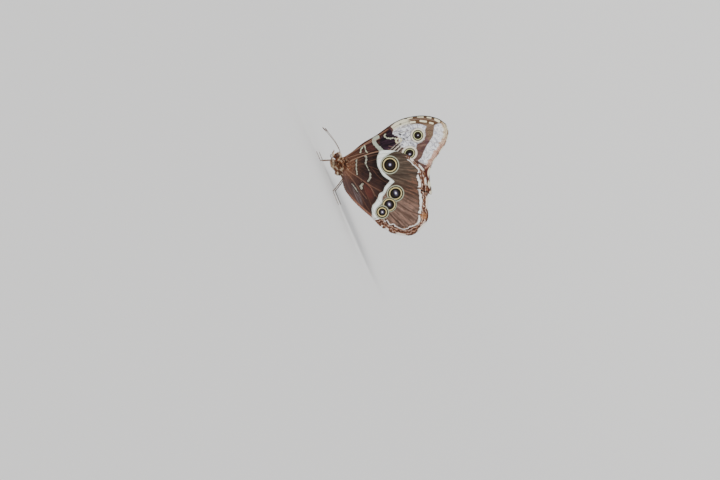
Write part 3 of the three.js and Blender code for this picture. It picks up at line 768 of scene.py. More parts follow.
    # White beads between the veins, pale bays along the rim, and lines along the front and inner edges
    beadAt = rim * narrow + (swing - 0.5) * 1.6 + wander * 0.6 + lowerSide * 0.35
    beads = f.hill(beadAt, 4.75, 0.75, 0.24) * f.rise(vein + jitter * 0.5, 0.35, 0.95) * (1 - lowerSide)
    beads = beads + f.hill(beadAt, 4.75, 0.3, 0.24) * lowerSide * 0.8
    colour = f.over(
        colour,
        (beads * (0.8 + 0.2 * f.rise(clumps, 0.35, 0.5)), (248, 246, 240)),
        (f.hill(lineAt, 5.5, 0.3, 0.3) * 0.6, (46, 34, 28)),
        ((1 - f.rise(vein, 0.1, 0.35)) * (1 - f.rise(rim, 3, 5)) * 0.45, (76, 46, 34)),
    )
    bays = (1 - f.rise(rim, 0.4, 0.8)) * f.rise(swing + jitter * 0.3, 0.72, 0.88)
    colour = f.blend(bays, colour, tone(246, 236, 220))
    front = (1 - f.rise(edge, 0.45, 0.9)) * (1 - f.rise(z, 23, 27)) * (1 - f.rise(x, 0.5, 3))
    colour = f.blend(front * 0.85, colour, tone(140, 108, 88))
    inner = (1 - f.rise(edge + jitter, 0.8, 1.7)) * f.rise(x, 14, 22) * (1 - f.rise(z, 3, 7))
    # The line along the inner edge, and a black line of painted shadow where the left hindwing has a slit
    colour = f.over(
        colour,
        (inner * 0.65, (150, 100, 82)),
        (f.rise(f.attribute("slitShadow"), 0.01, 0.08), (5, 4, 4)),
    )
    tones = ((236, 220, 160), (120, 100, 62), (170, 172, 148))
    return underFinish(f, scales, colour, jitter, hindwingSpots, tones)


def forewingUnder():
    f = Finish("forewingUnder")
    scales = wingScales(f)
    x, z, plane, _, clumps, broad = scales
    jitter = (f.noise(plane, 2.2, 3, 0.6) - 0.5) * 0.9
    vein, rim, lane, costa = (f.attribute(name) for name in ("vein", "rim", "lane", "costa"))
    ray = f.maths("ARCTAN2", z + 4, x + 3)
    reach = f.distance(x, z)
    streaks = f.noise(f.vector(ray * 40, reach * 0.08), 1, 3, 0.6)
    fine = f.noise(f.vector(ray * 100, reach * 0.25), 1, 2, 0.6)
    # Ground: dark maroon at the base, red brown between the pale fields
    outerGround = f.blend(f.rise(streaks, 0.35, 0.7), tone(76, 54, 48), tone(126, 98, 86))
    base = f.blend(f.rise(streaks, 0.38, 0.7), tone(38, 22, 22), tone(80, 46, 40))
    outerGround = f.blend(f.rise(broad, 0.5, 0.6) * 0.6, outerGround, tone(92, 62, 68))
    outward = f.rise(z - x * 0.3, 54, 59) * f.rise(clumps, 0.42, 0.6)
    outerGround = f.blend(outward, outerGround, tone(142, 122, 94))
    colour = f.blend(f.rise(z + x * 0.35, 30, 36), base, outerGround)
    colour = f.over(
        colour,
        (f.rise(fine, 0.52, 0.75) * 0.35, (130, 92, 76)),
        ((1 - f.rise(reach, 6, 18)) * f.rise(clumps, 0.42, 0.6) * 0.7, (132, 92, 66)),
        ((1 - f.rise(vein, 0.1, 0.6)) * 0.4, (62, 40, 36)),
    )
    inky = f.rise(f.attribute("inky") + jitter * 0.4, -0.2, 0.3)
    colour = f.blend(inky, colour, f.blend(f.rise(streaks, 0.4, 0.65), tone(22, 14, 20), tone(60, 38, 52)))
    # Front edge near the body: red brown, with a lighter line along it that is a painted highlight on the
    # front vein
    front = 1 - f.rise(costa + jitter * 0.3, 1.5, 2.1)
    redEdge = f.blend(f.hill(costa, 1.15, 0.2, 0.15), tone(60, 30, 24), tone(100, 64, 48))
    redEdge = f.blend(f.rise(clumps, 0.5, 0.7) * 0.4, redEdge, tone(84, 47, 35))
    colour = f.blend(front * (1 - f.rise(z, 35, 38)), colour, redEdge)
    # White field with grey flecks, cream toward the front edge, and the brown of the tip
    field = f.attribute("field") + jitter * 0.8 + (streaks - 0.5) * 1.6
    white = f.blend(f.rise(clumps, 0.4, 0.62), tone(222, 222, 228), tone(250, 250, 250))
    white = f.over(
        white,
        (f.hill(fine, 0.6, 0.03, 0.05) * 0.75, (134, 132, 138)),
        (f.rise(f.noise(plane, 0.42, 3, 0.8), 0.48, 0.58) * 0.85, (146, 144, 156)),
        (f.rise(f.noise(plane, 0.7, 2, 0.7), 0.57, 0.64) * 0.8, (80, 76, 84)),
        ((1 - f.rise(vein, 0.08, 0.4)) * 0.6, (146, 136, 120)),
    )
    cream = (1 - f.rise(costa + jitter, 2.8, 4.6)) * (1 - f.rise(z, 50, 54))
    creamTone = f.blend(f.rise(clumps, 0.4, 0.6), tone(214, 204, 168), tone(240, 236, 216))
    creamTone = f.blend(f.hill(costa + jitter, 2.3, 0.3, 0.3) * 0.6, creamTone, tone(150, 138, 118))
    white = f.blend(cream, white, creamTone)
    colour = f.blend(f.rise(field, -0.15, 0.35), colour, white)
    tip = (1 - f.rise(costa + jitter * 0.4, 4.0, 4.6)) * f.rise(z, 48, 52)
    tipBrown = f.blend(f.rise(clumps, 0.4, 0.6), tone(72, 50, 38), tone(112, 84, 58))
    colour = f.blend(tip, colour, tipBrown)
    colour = f.blend(tip * f.hill(costa, 1.5, 0.3, 0.25) * 0.6, colour, tone(150, 132, 120))
    # Bars, ring and rays
    barDepth = f.attribute("bars") + jitter * 0.7 + (f.noise(plane, 1.0, 1) - 0.5) * 1.2
    colour = f.blend(f.hill(barDepth, -0.35, 0.2, 0.2) * 0.6, colour, tone(20, 14, 16))
    bars = f.rise(barDepth, -0.16, 0.2)
    barColour = f.blend(f.rise(z, 17, 27) * f.rise(30 - z, 0, 3), tone(206, 208, 178), tone(176, 186, 168))
    barColour = f.blend(f.rise(clumps, 0.46, 0.6) * 0.75, barColour, tone(112, 114, 106))
    colour = f.blend(bars, colour, barColour)
    rose = f.rise(f.attribute("rose") + jitter * 0.2, -0.14, 0.14)
    colour = f.over(
        colour,
        (rose * 0.42, (170, 134, 110)),
        (f.rise(f.attribute("ring") + jitter * 0.2, -0.15, 0.15), (214, 204, 164)),
    )
    # A fan of dark and pale rays between the black cell and the lower eyespot
    across = x + (z - 31) * 0.35
    fan = f.hill(z, 35.6, 3.8, 1.6) * f.hill(across, 5.2, 2.6, 0.8)
    ripple = f.maths("SINE", across * 3.2 + (f.noise(plane, 0.6, 2) - 0.5) * 3)
    rayTone = f.blend(f.rise(ripple, -0.2, 0.5), tone(44, 30, 32), tone(206, 194, 178))
    colour = f.blend(fan * 0.9, colour, rayTone)
    # White band along the outer margin, with brown rays, and the border beyond it
    outer = f.attribute("outer") + jitter * 0.5 + (streaks - 0.5) * 0.8
    band = f.blend(f.rise(clumps, 0.38, 0.6), tone(226, 226, 230), tone(252, 252, 252))
    band = f.over(
        band,
        (f.hill(fine, 0.6, 0.03, 0.05) * 0.55, (150, 144, 146)),
        (f.rise(f.noise(plane, 0.45, 3, 0.8), 0.49, 0.59) * 0.8, (160, 158, 170)),
        (f.rise(f.noise(plane, 0.75, 2, 0.7), 0.58, 0.65) * 0.75, (108, 106, 116)),
        ((1 - f.rise(vein, 0.06, 0.3)) * 0.5, (160, 140, 122)),
    )
    colour = f.blend(f.rise(outer, -0.15, 0.3), colour, band)
    swing = f.maths("ABSOLUTE", f.maths("SINE", lane * math.pi))
    lineAt = rim + (swing - 0.5) * 0.35 + jitter * 0.5
    apical = 1 - f.rise(x + z * 0.2, 31.5, 33.5)
    toTip = f.rise(x, 6, 14)
    tan = f.blend(toTip, tone(208, 186, 142), tone(186, 130, 104))
    paleTan = f.blend(toTip, tone(236, 226, 196), tone(226, 192, 170))
    borderGround = f.blend(f.rise(clumps, 0.42, 0.6), tan, paleTan)
    borderGround = f.blend(f.rise(f.noise(plane, 0.5, 2), 0.5, 0.6) * 0.7, borderGround, tone(148, 102, 72))
    inward = 2.4 + 1.1 * f.rise(f.noise(plane, 0.45, 2), 0.4, 0.62)
    colour = f.blend((1 - f.rise(lineAt - inward, -0.5, 0.5)) * apical * 0.9, colour, borderGround)
    colour = f.over(
        colour,
        (f.hill(lineAt, 1.3, 0.14, 0.16) * apical * 0.7, (126, 84, 60)),
        (f.hill(lineAt, 0.35, 0.12, 0.14) * apical * 0.85, (70, 46, 34)),
    )
    tornal = f.rise(x + z * 0.2, 31.5, 33.0) * (1 - f.rise(rim, 5.5, 7))
    deep = f.blend(f.rise(clumps, 0.4, 0.65), tone(70, 34, 28), tone(108, 54, 42))
    scallop = 1 - f.rise(rim + (0.5 - swing) * 0.9, 0.1, 0.5)
    colour = f.blend(tornal, colour, f.blend(scallop, deep, tone(238, 226, 200)))
    dash = f.rise(f.attribute("dash") + jitter * 0.35, -0.14, 0.18)
    colour = f.blend(dash, colour, tone(240, 230, 196))
    ox, oz = x - forewingSpots[0]["at"][0], z - forewingSpots[0]["at"][1]
    halo = f.distance(ox, oz) + jitter
    behind = f.rise(oz * -1 - ox * 0.3, -0.5, 1.5)
    colour = f.blend(f.hill(halo, 5.0, 0.22, 0.3) * behind * 0.7, colour, tone(112, 110, 124))
    fleck = f.rise(f.attribute("fleck") + jitter * 0.15, -0.12, 0.1)
    colour = f.blend(fleck * 0.9, colour, tone(30, 26, 30))
    tones = ((214, 212, 160), (120, 118, 84), (226, 218, 198))
    return underFinish(f, scales, colour, jitter, forewingSpots, tones)


# Upper sides: shining blue with a black border, as the family has them
def wingUpper(name, isFore):
    f = Finish(name)
    x, z, plane, rows, clumps, broad = wingScales(f)
    jitter = (f.noise(plane, 1.6, 3, 0.6) - 0.5) * 2.2
    rim, vein, costa, lane = (f.attribute(key) for key in ("rim", "vein", "costa", "lane"))
    reach = f.distance(x, z)
    blue = f.blend(f.rise(broad, 0.35, 0.65), tone(18, 74, 168), tone(46, 128, 214))
    blue = f.blend((1 - f.rise(vein, 0.05, 0.3)) * 0.6, blue, tone(16, 32, 70))
    borderWidth = 13 if isFore else 9
    dark = 1 - f.rise(rim + jitter, borderWidth - 1.5, borderWidth + 1.5)
    if isFore:
        dark = f.maths("MAXIMUM", dark, 1 - f.rise(costa + jitter * 0.4, 2.2, 4.2))
        dark = f.maths("MAXIMUM", dark, f.rise(z + jitter, 54, 60))
    dark = f.maths("MAXIMUM", dark, 1 - f.rise(reach + jitter, 7, 20))
    if not isFore:
        dark = f.maths("MAXIMUM", dark, 1 - f.rise(z + jitter * 0.6, 1.0, 5.0))
    colour = f.blend(dark, blue, f.blend(f.rise(clumps, 0.4, 0.65), tone(16, 12, 12), tone(42, 32, 28)))
    spots = f.hill(lane - f.maths("FLOOR", lane), 0.5, 0.13, 0.06) * f.hill(rim, 3.6, 0.55, 0.3)
    colour = f.blend(spots * 0.85, colour, tone(226, 228, 232))
    shine = (1 - dark) * 0.75
    height = rows * -0.25 + clumps * 0.5
    return f.done(colour, 0.42 + dark * 0.4, f.bump(height, 0.3, 0.0001), shine)


# The right forewing is turned forward a little, in degrees, and the left hindwing has a slit in its margin,
# drawn as a black line of painted shadow
farForewingTurn = -0.8
slitShadowStroke = (0.32, [(37.3, 43.8), (35.8, 41.6), (34.3, 40.2)])
hindFinishes = (hindwingUnder(), wingUpper("hindwingUpper", False))
foreFinishes = (forewingUnder(), wingUpper("forewingUpper", True))
for side, sign in bothSides:
    turn = farForewingTurn if sign > 0 else 0
    forewing = wingObject("forewing" + side, "forewing", forewingOut, sign, turn, foreFinishes)
    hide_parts("forewing_" + side.lower())
    hindwing = wingObject("hindwing" + side, "hindwing", hindwingOut, sign, 0, hindFinishes)
    if sign < 0:
        slitShadow = depthInStrokes(wingFacts["hindwing"]["points"], [slitShadowStroke])
        setFloats(hindwing.data, "slitShadow", np.maximum(0, np.concatenate([slitShadow, slitShadow])))
    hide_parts("hindwing_" + side.lower())
print("wings made")


# Tufts set on a skin, or at loose points, that lie as the attributes there say.
# Each takes a small patch of the bake map, around its root.
tuftPlan = {"shortest": 0.7, "longest": 1.25, "patch": (0.003, 0.003, 0)}


def tuftGroup():
    group = bpy.data.node_groups.new("setTufts", "GeometryNodeTree")
    wanted = {"Geometry": "Geometry", "Tuft": "Object", "Density": "Float", "Size": "Float",
              "Ruffle": "Float", "On Faces": "Bool", "Seed": "Int", "Material": "Material"}
    for name, kind in wanted.items():
        group.interface.new_socket(name, in_out="INPUT", socket_type="NodeSocket" + kind)
    group.interface.new_socket("Geometry", in_out="OUTPUT", socket_type="NodeSocketGeometry")

    def node(kind, settings=None, **links):
        made = group.nodes.new(kind)
        for key, value in (settings or {}).items():
            setattr(made, key, value)
        for key, value in links.items():
            socket = made.inputs[int(key[1:])] if key[1:].isdigit() else made.inputs[key.replace("_", " ")]
            if isinstance(value, bpy.types.NodeSocket):
                group.links.new(value, socket)
            else:
                socket.default_value = value
        return made

    def named(name, kind):
        return node("GeometryNodeInputNamedAttribute", {"data_type": kind}, Name=name).outputs["Attribute"]

    def reckon(kind, operation, values):
        return node(kind, {"operation": operation}, **{f"i{i}": v for i, v in enumerate(values)}).outputs[0]

    def maths(operation, *values):
        return reckon("ShaderNodeMath", operation, values)

    def vectors(operation, *values):
        return reckon("ShaderNodeVectorMath", operation, values)

    given = node("NodeGroupInput").outputs
    density = maths("MULTIPLY", given["Density"], named("coat", "FLOAT"))
    strewn = node("GeometryNodeDistributePointsOnFaces", {"distribute_method": "RANDOM"},
                  Mesh=given["Geometry"], Density=density, Seed=given["Seed"])
    dots = node("GeometryNodeMeshToPoints", {"mode": "VERTICES"}, Mesh=given["Geometry"])
    roots = node("GeometryNodeSwitch", {"input_type": "GEOMETRY"}, i0=given["On Faces"], i1=dots.outputs[0],
                 i2=strewn.outputs[0])
    at = node("GeometryNodeInputPosition").outputs[0]
    kept = node("GeometryNodeStoreNamedAttribute", {"data_type": "FLOAT_VECTOR", "domain": "POINT"},
                Geometry=roots.outputs[0], Name="root", i3=at)
    shake = node("FunctionNodeRandomValue", {"data_type": "FLOAT_VECTOR"}, i0=(-1, -1, -1), i1=(1, 1, 1),
                 Seed=given["Seed"])
    ruffled = node("ShaderNodeVectorMath", {"operation": "SCALE"}, i0=shake.outputs[0], Scale=given["Ruffle"])
    lie = vectors("ADD", named("lie", "FLOAT_VECTOR"), ruffled.outputs[0])
    turn = node("FunctionNodeAlignRotationToVector", {"axis": "Z"}, Vector=lie)
    turn = node("FunctionNodeAlignRotationToVector", {"axis": "Y", "pivot_axis": "Z"},
                Rotation=turn.outputs[0], Vector=named("face", "FLOAT_VECTOR"))
    grown = node("FunctionNodeRandomValue", {"data_type": "FLOAT"}, i2=tuftPlan["shortest"],
                 i3=tuftPlan["longest"], Seed=given["Seed"])
    size = maths("MULTIPLY", maths("MULTIPLY", grown.outputs[1], given["Size"]), named("size", "FLOAT"))
    tuft = node("GeometryNodeObjectInfo", None, Object=given["Tuft"])
    placed = node("GeometryNodeInstanceOnPoints", None, Points=kept.outputs[0],
                  Instance=tuft.outputs["Geometry"], Rotation=turn.outputs[0], Scale=size)
    solid = node("GeometryNodeRealizeInstances", None, Geometry=placed.outputs[0])
    patch = vectors("MULTIPLY", named("patch", "FLOAT_VECTOR"), tuftPlan["patch"])
    spot = vectors("ADD", named("unwrap", "FLOAT_VECTOR"), patch)
    baked = node("GeometryNodeStoreNamedAttribute", {"data_type": "FLOAT2", "domain": "CORNER"},
                 Geometry=solid.outputs[0], Name="OFBake", i3=spot)
    made = node("GeometryNodeSetMaterial", None, Geometry=baked.outputs[0], Material=given["Material"])
    node("NodeGroupOutput", None, i0=made.outputs[0])
    return group


tufts = tuftGroup()


# What tufts read at each point of a base: how many and how long, how they lie, the way the surface faces,
# and their place on the bake map
def setCoat(mesh, coat, size, lie, face, across, up):
    count = len(mesh.vertices)
    setFloats(mesh, "coat", coat)
    setFloats(mesh, "size", size)
    setVectors(mesh, "lie", lie)
    setVectors(mesh, "face", face)
    setVectors(mesh, "unwrap", np.column_stack([across, np.broadcast_to(up, count), np.zeros(count)]))


# Density is in tufts to a square millimetre, and without one a tuft grows at each point
def coatOf(name, base, tuft, material, density, ruffle, seed):
    modifier = base.modifiers.new("tufts", "NODES")
    modifier.node_group = tufts
    values = {"Tuft": hairTufts[tuft], "Density": (density or 0.0) / mm**2, "Size": mm, "Ruffle": ruffle,
              "On Faces": density is not None, "Seed": seed, "Material": material}
    for item in tufts.interface.items_tree:
        if item.in_out == "INPUT" and item.name in values:
            modifier[item.identifier] = values[item.name]
    shown = base.evaluated_get(bpy.context.evaluated_depsgraph_get())
    mesh = bpy.data.meshes.new_from_object(shown)
    base.modifiers.remove(modifier)
    mesh.name = name
    shadeSmooth(mesh)
    coat = placeObject(name, mesh)
    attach(coat, "root")
    print(name, "triangles", sum(len(p.vertices) - 2 for p in mesh.polygons))


# A tuft of tapered hairs that start together and bend with the lie, one unit long
def tuftObject(name, plan, sides=3):
    vertices, faces, tips, patch = [], [], [], []
    for k in range(plan["hairs"]):
        turn = 2.4 * k
        lean = plan["spread"] * (0.4 + 0.6 * (k % 3) / 2) if k else 0
        length = 1 - 0.28 * ((k * 0.618) % 1)
        away = np.array([math.cos(turn), math.sin(turn)])
        start = len(vertices)
        for ring in range(plan["rings"] + 1):
            share = ring / plan["rings"]
            middle = np.array([*(away * lean * share), length * share]) - (0, plan["bend"] * share**2, 0)
            width = plan["width"] * (1 - share) ** 0.7 * (1 + 0.25 * math.sin(math.pi * share))
            if ring == plan["rings"]:
                vertices.append(middle)
                tips.append(1.0)
                patch.append((0.5, 1, 0))
                break
            for side in range(sides):
                angle = 2 * math.pi * side / sides + k
                thick = width * plan.get("flat", 1)
                vertices.append(middle + (math.cos(angle) * width, math.sin(angle) * thick, 0))
                tips.append(share)
                patch.append((side / sides, share, 0))
        for ring in range(plan["rings"] - 1):
            for side in range(sides):
                a = start + ring * sides + side
                b = start + ring * sides + (side + 1) % sides
                faces.append((a, b, b + sides, a + sides))
        top = start + (plan["rings"] - 1) * sides
        faces += [(top + side, top + (side + 1) % sides, top + sides) for side in range(sides)]
        faces.append(tuple(start + side for side in reversed(range(sides))))
    tuft = newObject(name, vertices, faces)
    setFloats(tuft.data, "tip", tips)
    setVectors(tuft.data, "patch", patch)
    tuft.hide_render = True
    return tuft


# Closed surfaces in millimetres that are joined to make the body
def blobMesh(centre, radii, squareness=2.0, across=48, down=32):
    vertices, faces = [], []
    for i in range(down + 1):
        polar = math.pi * i / down
        for k in range(across):
            angle = 2 * math.pi * k / across
            out = math.sin(polar)
            way = np.array([-math.cos(polar), out * math.cos(angle), out * math.sin(angle)])
            reach = (np.abs(way) ** squareness).sum() ** (-1 / squareness)
            vertices.append(np.array(centre) + way * reach * np.array(radii))
            if i in (0, down):
                break

    def corner(i, k):
        if i in (0, down):
            return 0 if i == 0 else len(vertices) - 1
        return 1 + (i - 1) * across + k % across

    for i in range(down):
        for k in range(across):
            corners = [corner(i, k), corner(i, k + 1), corner(i + 1, k + 1), corner(i + 1, k)]
            faces.append(tuple(dict.fromkeys(corners)))
    return np.array(vertices), [tuple(reversed(face)) for face in faces]


# A closed tube along a line, with a radius for each point of it, and an optional flattening
def tubeMesh(line, radii, sides=12, flat=1.0):
    line, radii = np.asarray(line, float), np.broadcast_to(radii, len(line))
    ahead = unit(np.gradient(line, axis=0))
    across = np.cross(ahead[0], (0, 0, 1))
    if np.linalg.norm(across) < 0.05:
        across = np.cross(ahead[0], (0, 1, 0))
    vertices, faces = [line[0] - ahead[0] * radii[0] * 0.5], []
    for at, way, radius in zip(line, ahead, radii):
        across = across - way * (across @ way)
        across /= np.linalg.norm(across)
        up = np.cross(across, way)
        for k in range(sides):
            angle = 2 * math.pi * k / sides
            vertices.append(at + (across * math.cos(angle) + up * math.sin(angle) * flat) * radius)
    vertices.append(line[-1] + ahead[-1] * radii[-1] * 0.5)
    last = len(vertices) - 1
    for k in range(sides):
        near = (k + 1) % sides
        faces.append((0, 1 + near, 1 + k))
        for ring in range(len(line) - 1):
            a = 1 + ring * sides
            faces.append((a + k, a + near, a + sides + near, a + sides + k))
        a = 1 + (len(line) - 1) * sides
        faces.append((last, a + k, a + near))
    return np.array(vertices), faces


def joined(parts):
    vertices, faces, start = [], [], 0
    for points, corners in parts:
        vertices.append(points)
        faces += [tuple(c + start for c in face) for face in corners]
        start += len(points)
    return np.vstack(vertices), faces


def mirroredMesh(part):
    return part[0] * (1, -1, 1), [tuple(reversed(face)) for face in part[1]]


# The skin lies inside the solids by the insets, as the coat brings it back to their size
bodyPlan = {
    "voxel": 0.13,
    "soften": (0.5, 10),
    "inset": 0.45,
    "headInset": 0.2,
    "head": {"centre": (-6.9, 0, -1.6), "radii": (2.2, 2.0, 2.4), "squareness": 2.2},
    "neck": {"path": [(-6.2, 0, -1.9), (-5, 0, -2), (-3.5, 0, -2.1)], "radii": (1.5, 1.55, 2.2)},
    "waist": {"path": [(2, 0, -1.7), (4, 0, -1.6), (6, 0, -1.55)], "radii": (2.6, 2.1, 1.9)},
    "shoulder": {"centre": (-3.3, 2.2, 1.2), "radii": (1.6, 0.9, 1.3)},
    "midHip": {"centre": (-1.0, 1.6, -5.2), "radii": (1.5, 1.2, 1.7)},
    "hindHip": {"centre": (2.6, 1.6, -5.0), "radii": (1.5, 1.2, 1.7)},
    "abdomen": {"start": 3.6, "length": 18.6, "radius": 2.75, "height": -1.5, "droop": -0.6, "rings": 8},
    "palp": {
        "path": [(-6, 0.75, -3.3), (-8, 0.85, -4.1), (-9.8, 0.95, -3.6), (-11, 0.95, -2.5)],
        "radius": 0.5,
    },
    "foreleg": {
        "path": [(-3.6, 1.5, -4.6), (-5.4, 1.9, -5.6), (-6.4, 2, -6.2), (-5.2, 2.1, -6.9), (-2.6, 2.2, -7.6)],
        "radius": 0.42,
    },
}


def abdomenMesh(plan, inset):
    steps = plan["rings"] * 14
    share = np.linspace(0, 1, steps + 1)
    body = np.sin(np.pi * (0.24 + 0.7 * share)) ** 0.75
    phase = (share * plan["rings"]) % 1
    segment = 0.95 + 0.05 * np.sin(np.pi * np.clip(phase / 0.85, 0, 1)) ** 0.5
    radius = np.maximum(plan["radius"] * body * segment - inset, 0.2)
    line = np.column_stack([plan["start"] - 1.5 + share * (plan["length"] + 1.3), 0 * share,
                            plan["height"] + plan["droop"] * share])
    return tubeMesh(line, radius, 40)


def palpMesh(plan):
    line = evenly(smoothLine(plan["path"], 16), 0.2)
    share = np.linspace(0, 1, len(line))
    swell = (0.75 + 0.5 * np.sin(np.pi * share)) * (1 - 0.6 * smoothStep(share, 0.6, 1))
    return tubeMesh(line, plan["radius"] * swell, 16, 0.8)


def forelegMesh(plan):
    line = evenly(smoothLine(plan["path"], 16), 0.2)
    taper = 1 - 0.5 * smoothStep(np.linspace(0, 1, len(line)), 0.5, 1)
    return tubeMesh(line, plan["radius"] * taper, 16)


def bodySkin():
    plan = bodyPlan
    head, inset = plan["head"], plan["inset"]
    palp, foreleg = palpMesh(plan["palp"]), forelegMesh(plan["foreleg"])
    parts = [
        blobMesh(thoraxPlan["centre"], [r - inset for r in thoraxPlan["radii"]], thoraxPlan["squareness"]),
        blobMesh(head["centre"], [r - plan["headInset"] for r in head["radii"]], head["squareness"]),
        tubeMesh(plan["neck"]["path"], plan["neck"]["radii"], 32),
        abdomenMesh(plan["abdomen"], inset * 0.6),
        tubeMesh(plan["waist"]["path"], plan["waist"]["radii"], 32),
        palp, mirroredMesh(palp), foreleg, mirroredMesh(foreleg),
    ]
    for sign in (1, -1):
        for key in ("shoulder", "midHip", "hindHip"):
            x, y, z = plan[key]["centre"]
            parts.append(blobMesh((x, sign * y, z), plan[key]["radii"]))
    rough = newObject("bodyRough", *joined(parts))
    remesh = rough.modifiers.new("remesh", "REMESH")
    remesh.mode, remesh.voxel_size = "VOXEL", plan["voxel"]
    soften = rough.modifiers.new("soften", "SMOOTH")
    soften.factor, soften.iterations = plan["soften"]
    shown = rough.evaluated_get(bpy.context.evaluated_depsgraph_get())
    mesh = bpy.data.meshes.new_from_object(shown)
    bpy.data.objects.remove(rough)
    at, normals = vertexRows(mesh, "co"), vertexRows(mesh, "normal")
    mesh.vertices.foreach_set("co", inWorld(at).ravel())
    mesh.update()
    shadeSmooth(mesh)
    return placeObject("bodySkin", mesh), at, normals


# How the coat lies: backward over the body, forward and up on the face, and flatter on the abdomen
def combSkin(skin, at, normals):
    mesh = skin.data
    count = len(at)
    face = smoothStep(-at[:, 0], 5.6, 7.2)
    back = np.tile([1.0, 0, -0.12], (count, 1))
    forward = np.tile([-0.75, 0, 0.45], (count, 1))
    way = back * (1 - face)[:, None] + forward * face[:, None]
    way = unit(way - normals * (way * normals).sum(1)[:, None])
    onAbdomen = smoothStep(at[:, 0], 4.5, 7)
    lift = 0.42 * (1 - onAbdomen) + 0.12 * onAbdomen
    around = np.arctan2(at[:, 1], at[:, 2] + 2.2) / (2 * np.pi)
    setCoat(mesh, np.ones(count), np.ones(count), unit(way + normals * lift[:, None]), normals,
            around * 0.94 + 0.5, (at[:, 0] + 12) / 36)
    return {"face": face, "abdomen": onAbdomen}


# Streaks of cream hair on the head and along the chest, in the plane of the wings
creamStrokes = [
    [(-9.8, -3.0), (-8.2, -4.4), (-6.2, -5.5), (-3.6, -5.1), (-1.4, -7.0)],
    [(-7.9, -0.1), (-6.5, 0.2), (-4.6, -1.9)],
    [(-1.6, -5.0), (0.2, -4.3)],
    [(0.9, -3.0), (0.6, -1.4)],
    [(2.4, -5.4), (3.9, -6.6)],
    [(4.9, -5.2), (6.4, -6.4)],
    [(5.0, -3.4), (6.4, -1.6)],
]


# Least distance from (px, pz) to drawn strokes, as shader maths
def nearestStroke(f, px, pz, strokes):
    least = None
    for stroke in strokes:
        for (ax, az), (bx, bz) in zip(stroke, stroke[1:]):
            dx, dz = bx - ax, bz - az
            share = ((px - ax) * dx + (pz - az) * dz) * (1 / (dx * dx + dz * dz))
            share = f.maths("MINIMUM", f.maths("MAXIMUM", share, 0), 1)
            found = f.distance(px - ax - share * dx, pz - az - share * dz)
            least = found if least is None else f.maths("MINIMUM", least, found)
    return least


def coatColours(name, onTuft):
    f = Finish(name)
    place = f.attribute("root", "Vector") if onTuft else f.place()
    x, y, z = f.parts(place)
    streak = f.noise(f.vector(x * 260, y * 900, z * 900), 1, 3, 0.65)
    clump = f.noise(place, 420, 2, 0.5)
    belly = 1 - f.rise(z, wingRoot[2] - 7.5 * mm, wingRoot[2] - 4.5 * mm)
    hind = f.rise(x, wingRoot[0] + 4 * mm, wingRoot[0] + 8 * mm)
    colour = f.blend(f.rise(streak, 0.38, 0.56), tone(40, 22, 14), tone(130, 74, 42))
    colour = f.over(
        colour,
        (f.rise(streak, 0.55, 0.6), (236, 208, 172)),
        (f.rise(clump, 0.54, 0.64) * 0.5, (150, 82, 48)),
        (belly * 0.35, (200, 166, 130)),
    )
    toStroke = nearestStroke(f, (x - wingRoot[0]) * (1 / mm), (z - wingRoot[2]) * (1 / mm), creamStrokes)
    toStroke = toStroke + (streak - 0.5) * 0.9
    colour = f.over(
        colour,
        (f.hill(toStroke, 0.95, 0.25, 0.3) * 0.7, (122, 66, 36)),
        ((1 - f.rise(toStroke, 0.3, 0.6)) * 0.9, (240, 220, 190)),
    )
    hindTone = f.blend(f.rise(streak, 0.4, 0.6), tone(84, 64, 54), tone(132, 108, 92))
    colour = f.blend(hind * 0.75, colour, hindTone)
    if onTuft:
        tip = f.attribute("tip")
        colour = f.blend((1 - f.rise(tip, 0.0, 0.5)) * 0.5, colour, tone(30, 16, 12))
        return f.done(colour, 0.6, Specular_IOR_Level=0.3)
    return f.done(f.blend(0.45, colour, tone(40, 24, 18)), 0.85, f.bump(streak, 0.5, 0.0002))


skinFinish, hairFinish = coatColours("bodySkin", False), coatColours("bodyHair", True)
skin, skinAt, skinNormals = bodySkin()
skin.data.materials.clear()
skin.data.materials.append(skinFinish)
regions = combSkin(skin, skinAt, skinNormals)
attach(skin, "root")
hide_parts("head", "thorax", "abdomen", "palp_left", "palp_right", "foreleg_left", "foreleg_right")
print("skin", len(skin.data.polygons))

# Tufts one unit long: hair of the chest, hair of face and legs, fringe of the wings, scales of the abdomen
hairPlans = {
    "long": {"hairs": 4, "rings": 3, "width": 0.045, "spread": 0.2, "bend": 0.18},
    "short": {"hairs": 4, "rings": 2, "width": 0.09, "spread": 0.3, "bend": 0.2},
    "fringe": {"hairs": 3, "rings": 2, "width": 0.11, "spread": 0.28, "bend": 0, "flat": 0.3},
    "scale": {"hairs": 1, "rings": 2, "width": 0.34, "spread": 0, "bend": 0.08, "flat": 0.25},
}
hairTufts = {name: tuftObject(name + "Tuft", plan) for name, plan in hairPlans.items()}

# Tufts to a square millimetre, and how far each strays from the lie
coatPlans = {
    "head": {"tuft": "short", "density": 30, "ruffle": 0.35},
    "abdomen": {"tuft": "scale", "density": 16, "ruffle": 0.12},
    "thorax": {"tuft": "long", "density": 25, "ruffle": 0.28},
}


